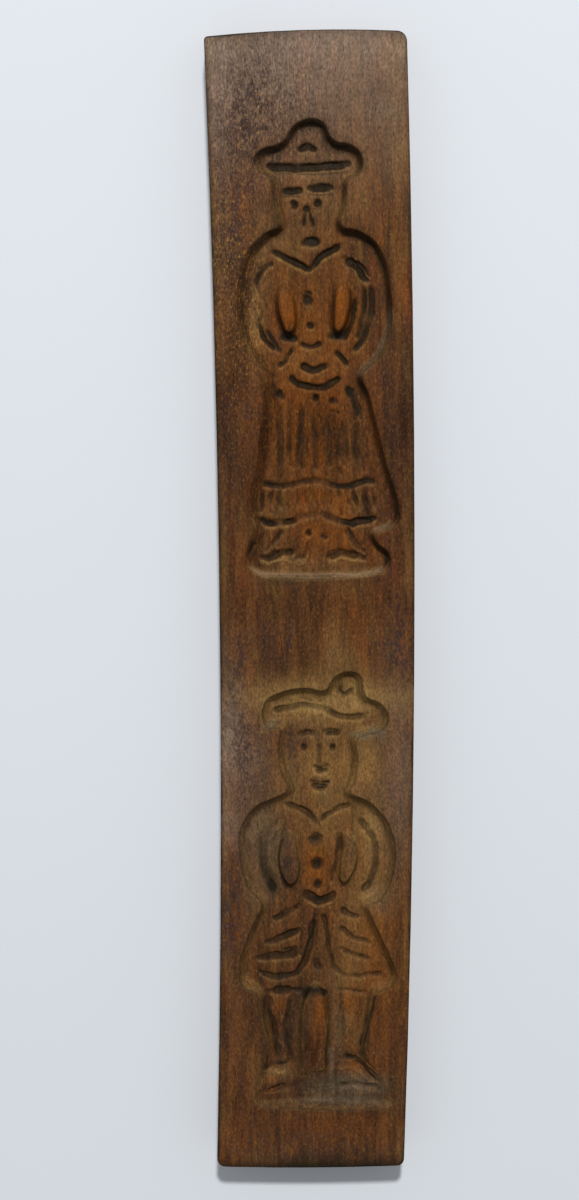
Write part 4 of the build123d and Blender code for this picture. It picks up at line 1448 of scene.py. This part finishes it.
RIDGES = (
    # Her neck, bodice and sleeves
    (0.8, 1.1, (14.3, 141.3), (15.5, 137.9)), (0.8, 1.1, (16.7, 139.9), (18.1, 136.7)),
    (0.8, 1.1, (19, 137.5), (21, 134.6)), (0.8, 1.1, (20.8, 134.6), (22.8, 132.4)),
    (1, 0.5, (-21.3, 129.8), (-20.5, 123.8), (-20.1, 117.8)),
    (1, 0.4, (-3.8, 123.8), (-2.4, 125.2), (-0.8, 124.4), (-0.4, 122.4)),
    # Her waist and skirt
    (1.3, 0.7, (-14.6, 86.6), (-13.8, 73.5), (-14.6, 61.4)), (1, 0.5, (-10.3, 79.5), (-10.4, 60.4)),
    (1.2, 0.6, (-6.5, 85.6), (-6.2, 77.5), (-6, 61.4)), (0.8, 0.4, (-0.8, 79.5), (-0.8, 61.4)),
    (0.9, 0.6, (3, 81.6), (2.9, 61.4)), (1, 0.4, (9.1, 83.6), (9.5, 73.5)),
    (1, 0.35, (14.3, 79.5), (14.7, 63.5)), (2.4, 0.5, (-7.6, 83.2), (-6, 81.8)),
    (1.4, 0.6, (9.3, 83.6), (10.9, 82.4)),
    # Her ruffle, feet and ground
    (1, 0.5, (-16, 23.4), (-11, 24.2), (-8, 22.8), (-5, 22), (-3, 23.2)),
    (1.4, 0.5, (9.1, 24.8), (14.1, 24), (19.2, 23)), (1.2, 0.4, (13.1, 37.3), (14.5, 33.3)),
    (1.6, 0.4, (13.5, 49.4), (14.1, 42.3)), (1.2, 0.4, (17.7, 49.8), (18.6, 42.3)),
    (1.4, 0.4, (22.8, 49.4), (24.2, 42.7)),
    # His chest and arms
    (1.2, 0.5, (-13.6, -83.2), (-17.6, -88.2), (-17.4, -96.3), (-15.6, -102.3)),
    (1.3, 0.6, (-12, -81.2), (-15, -91.3), (-15.2, -99.3), (-12.4, -108.3)),
    # His coat
    (1.8, 0.5, (-2, -114.7), (2.1, -116), (6.5, -114.6)),
    # His legs, boots and base
    (1.4, 0.5, (-16.6, -153), (-13.4, -161.6), (-12.8, -164.6), (-11, -153.6)),
    (2.6, 0.5, (-20.1, -183.7), (-13, -185.3)),
    (2, 0.5, (10.1, -183.7), (16.1, -183.7), (21.1, -187.7)),
    (1, 0.5, (17.1, -178.3), (22.2, -182.1), (26.2, -185.7)),
    (1.4, 0.4, (13.1, -153.6), (16.5, -156.6), (16.1, -161.6)),
)

FADED_LINES = (
    (-21, 124, 3, 9, 0.8), (0, 56.5, 6, 3, 0.35), (0, 48, 9, 4.5, 0.6), (21, 119, 4, 12, 0.35),
    (-19, -95, 4, 16, 0.35), (2, 42.5, 7, 3, 0.55), (3, -34.6, 16, 4, 0.45), (-10, 54.5, 6, 2.6, 0.4),
    (12, 54.5, 7, 3, 0.4), (-10.6, 103.6, 3, 4, 0.45), (-19, -85, 5, 9, 0.6), (-19, -99, 5, 10, 0.5),
    (16.4, 87, 3.4, 7, 0.8), (2, 55, 24, 3, 0.15), (23, -92, 4, 16, 0.45), (18, -126, 6, 14, 0.35),
    (16, -144, 12, 4, 0.4), (-10.4, -166, 3, 12, 0.6), (5.9, -63.2, 1.9, 1.3, 0.9),
    (17, -189, 11, 2, 0.6), (2.8, -67, 2.6, 0.8, 0.4), (-13.5, -77.6, 6, 4, 0.9),
)

TORN_LINES = (
    (2, 34, 26, 24, 1), (17, 137, 6, 7, 0.9), (-18, 112, 5, 12, 1), (17, 86, 4, 8, 1),
    (-12, -100, 14, 30, 0.6),
)

BLURRED_RIMS = (
    (-10, -98, 7, 16, 1), (13.5, -98, 6, 14, 0.7), (0, -172, 9, 20, 1.2), (-14, -58, 4, 10, 0.4),
    (16, -60, 4, 10, 0.4),
)

SHALLOW_PLACES = (
    (28, -190, 12, 10, 0.75), (-24, -192, 12, 10, 0.75), (0, -185.5, 9, 5, 0.7), (-5, -176, 4, 10, 0.5),
)


def main() -> None:
    """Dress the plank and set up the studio."""
    logging.basicConfig(level=logging.INFO, format="%(name)s: %(message)s")
    bpy.context.scene.view_settings.view_transform = "Standard"
    wood = StainedWood().build()
    board = CarvedBoard(
        cuts=scratches_from(CUTS_AND_DENTS),
        ridges=scratches_from(RIDGES),
        faded=spots_from(FADED_LINES),
        shallows=spots_from(SHALLOW_PLACES),
        torn=spots_from(TORN_LINES),
        blurred=spots_from(BLURRED_RIMS),
        smears=smears_from(STAIN_SHADE_AND_HIGHLIGHT_STROKES),
        patches=patches_from(FACE_PATCHES),
    )
    board.build(wood)
    Studio().build()
    log.info("studio is set")


if __name__ == "__main__":
    main()
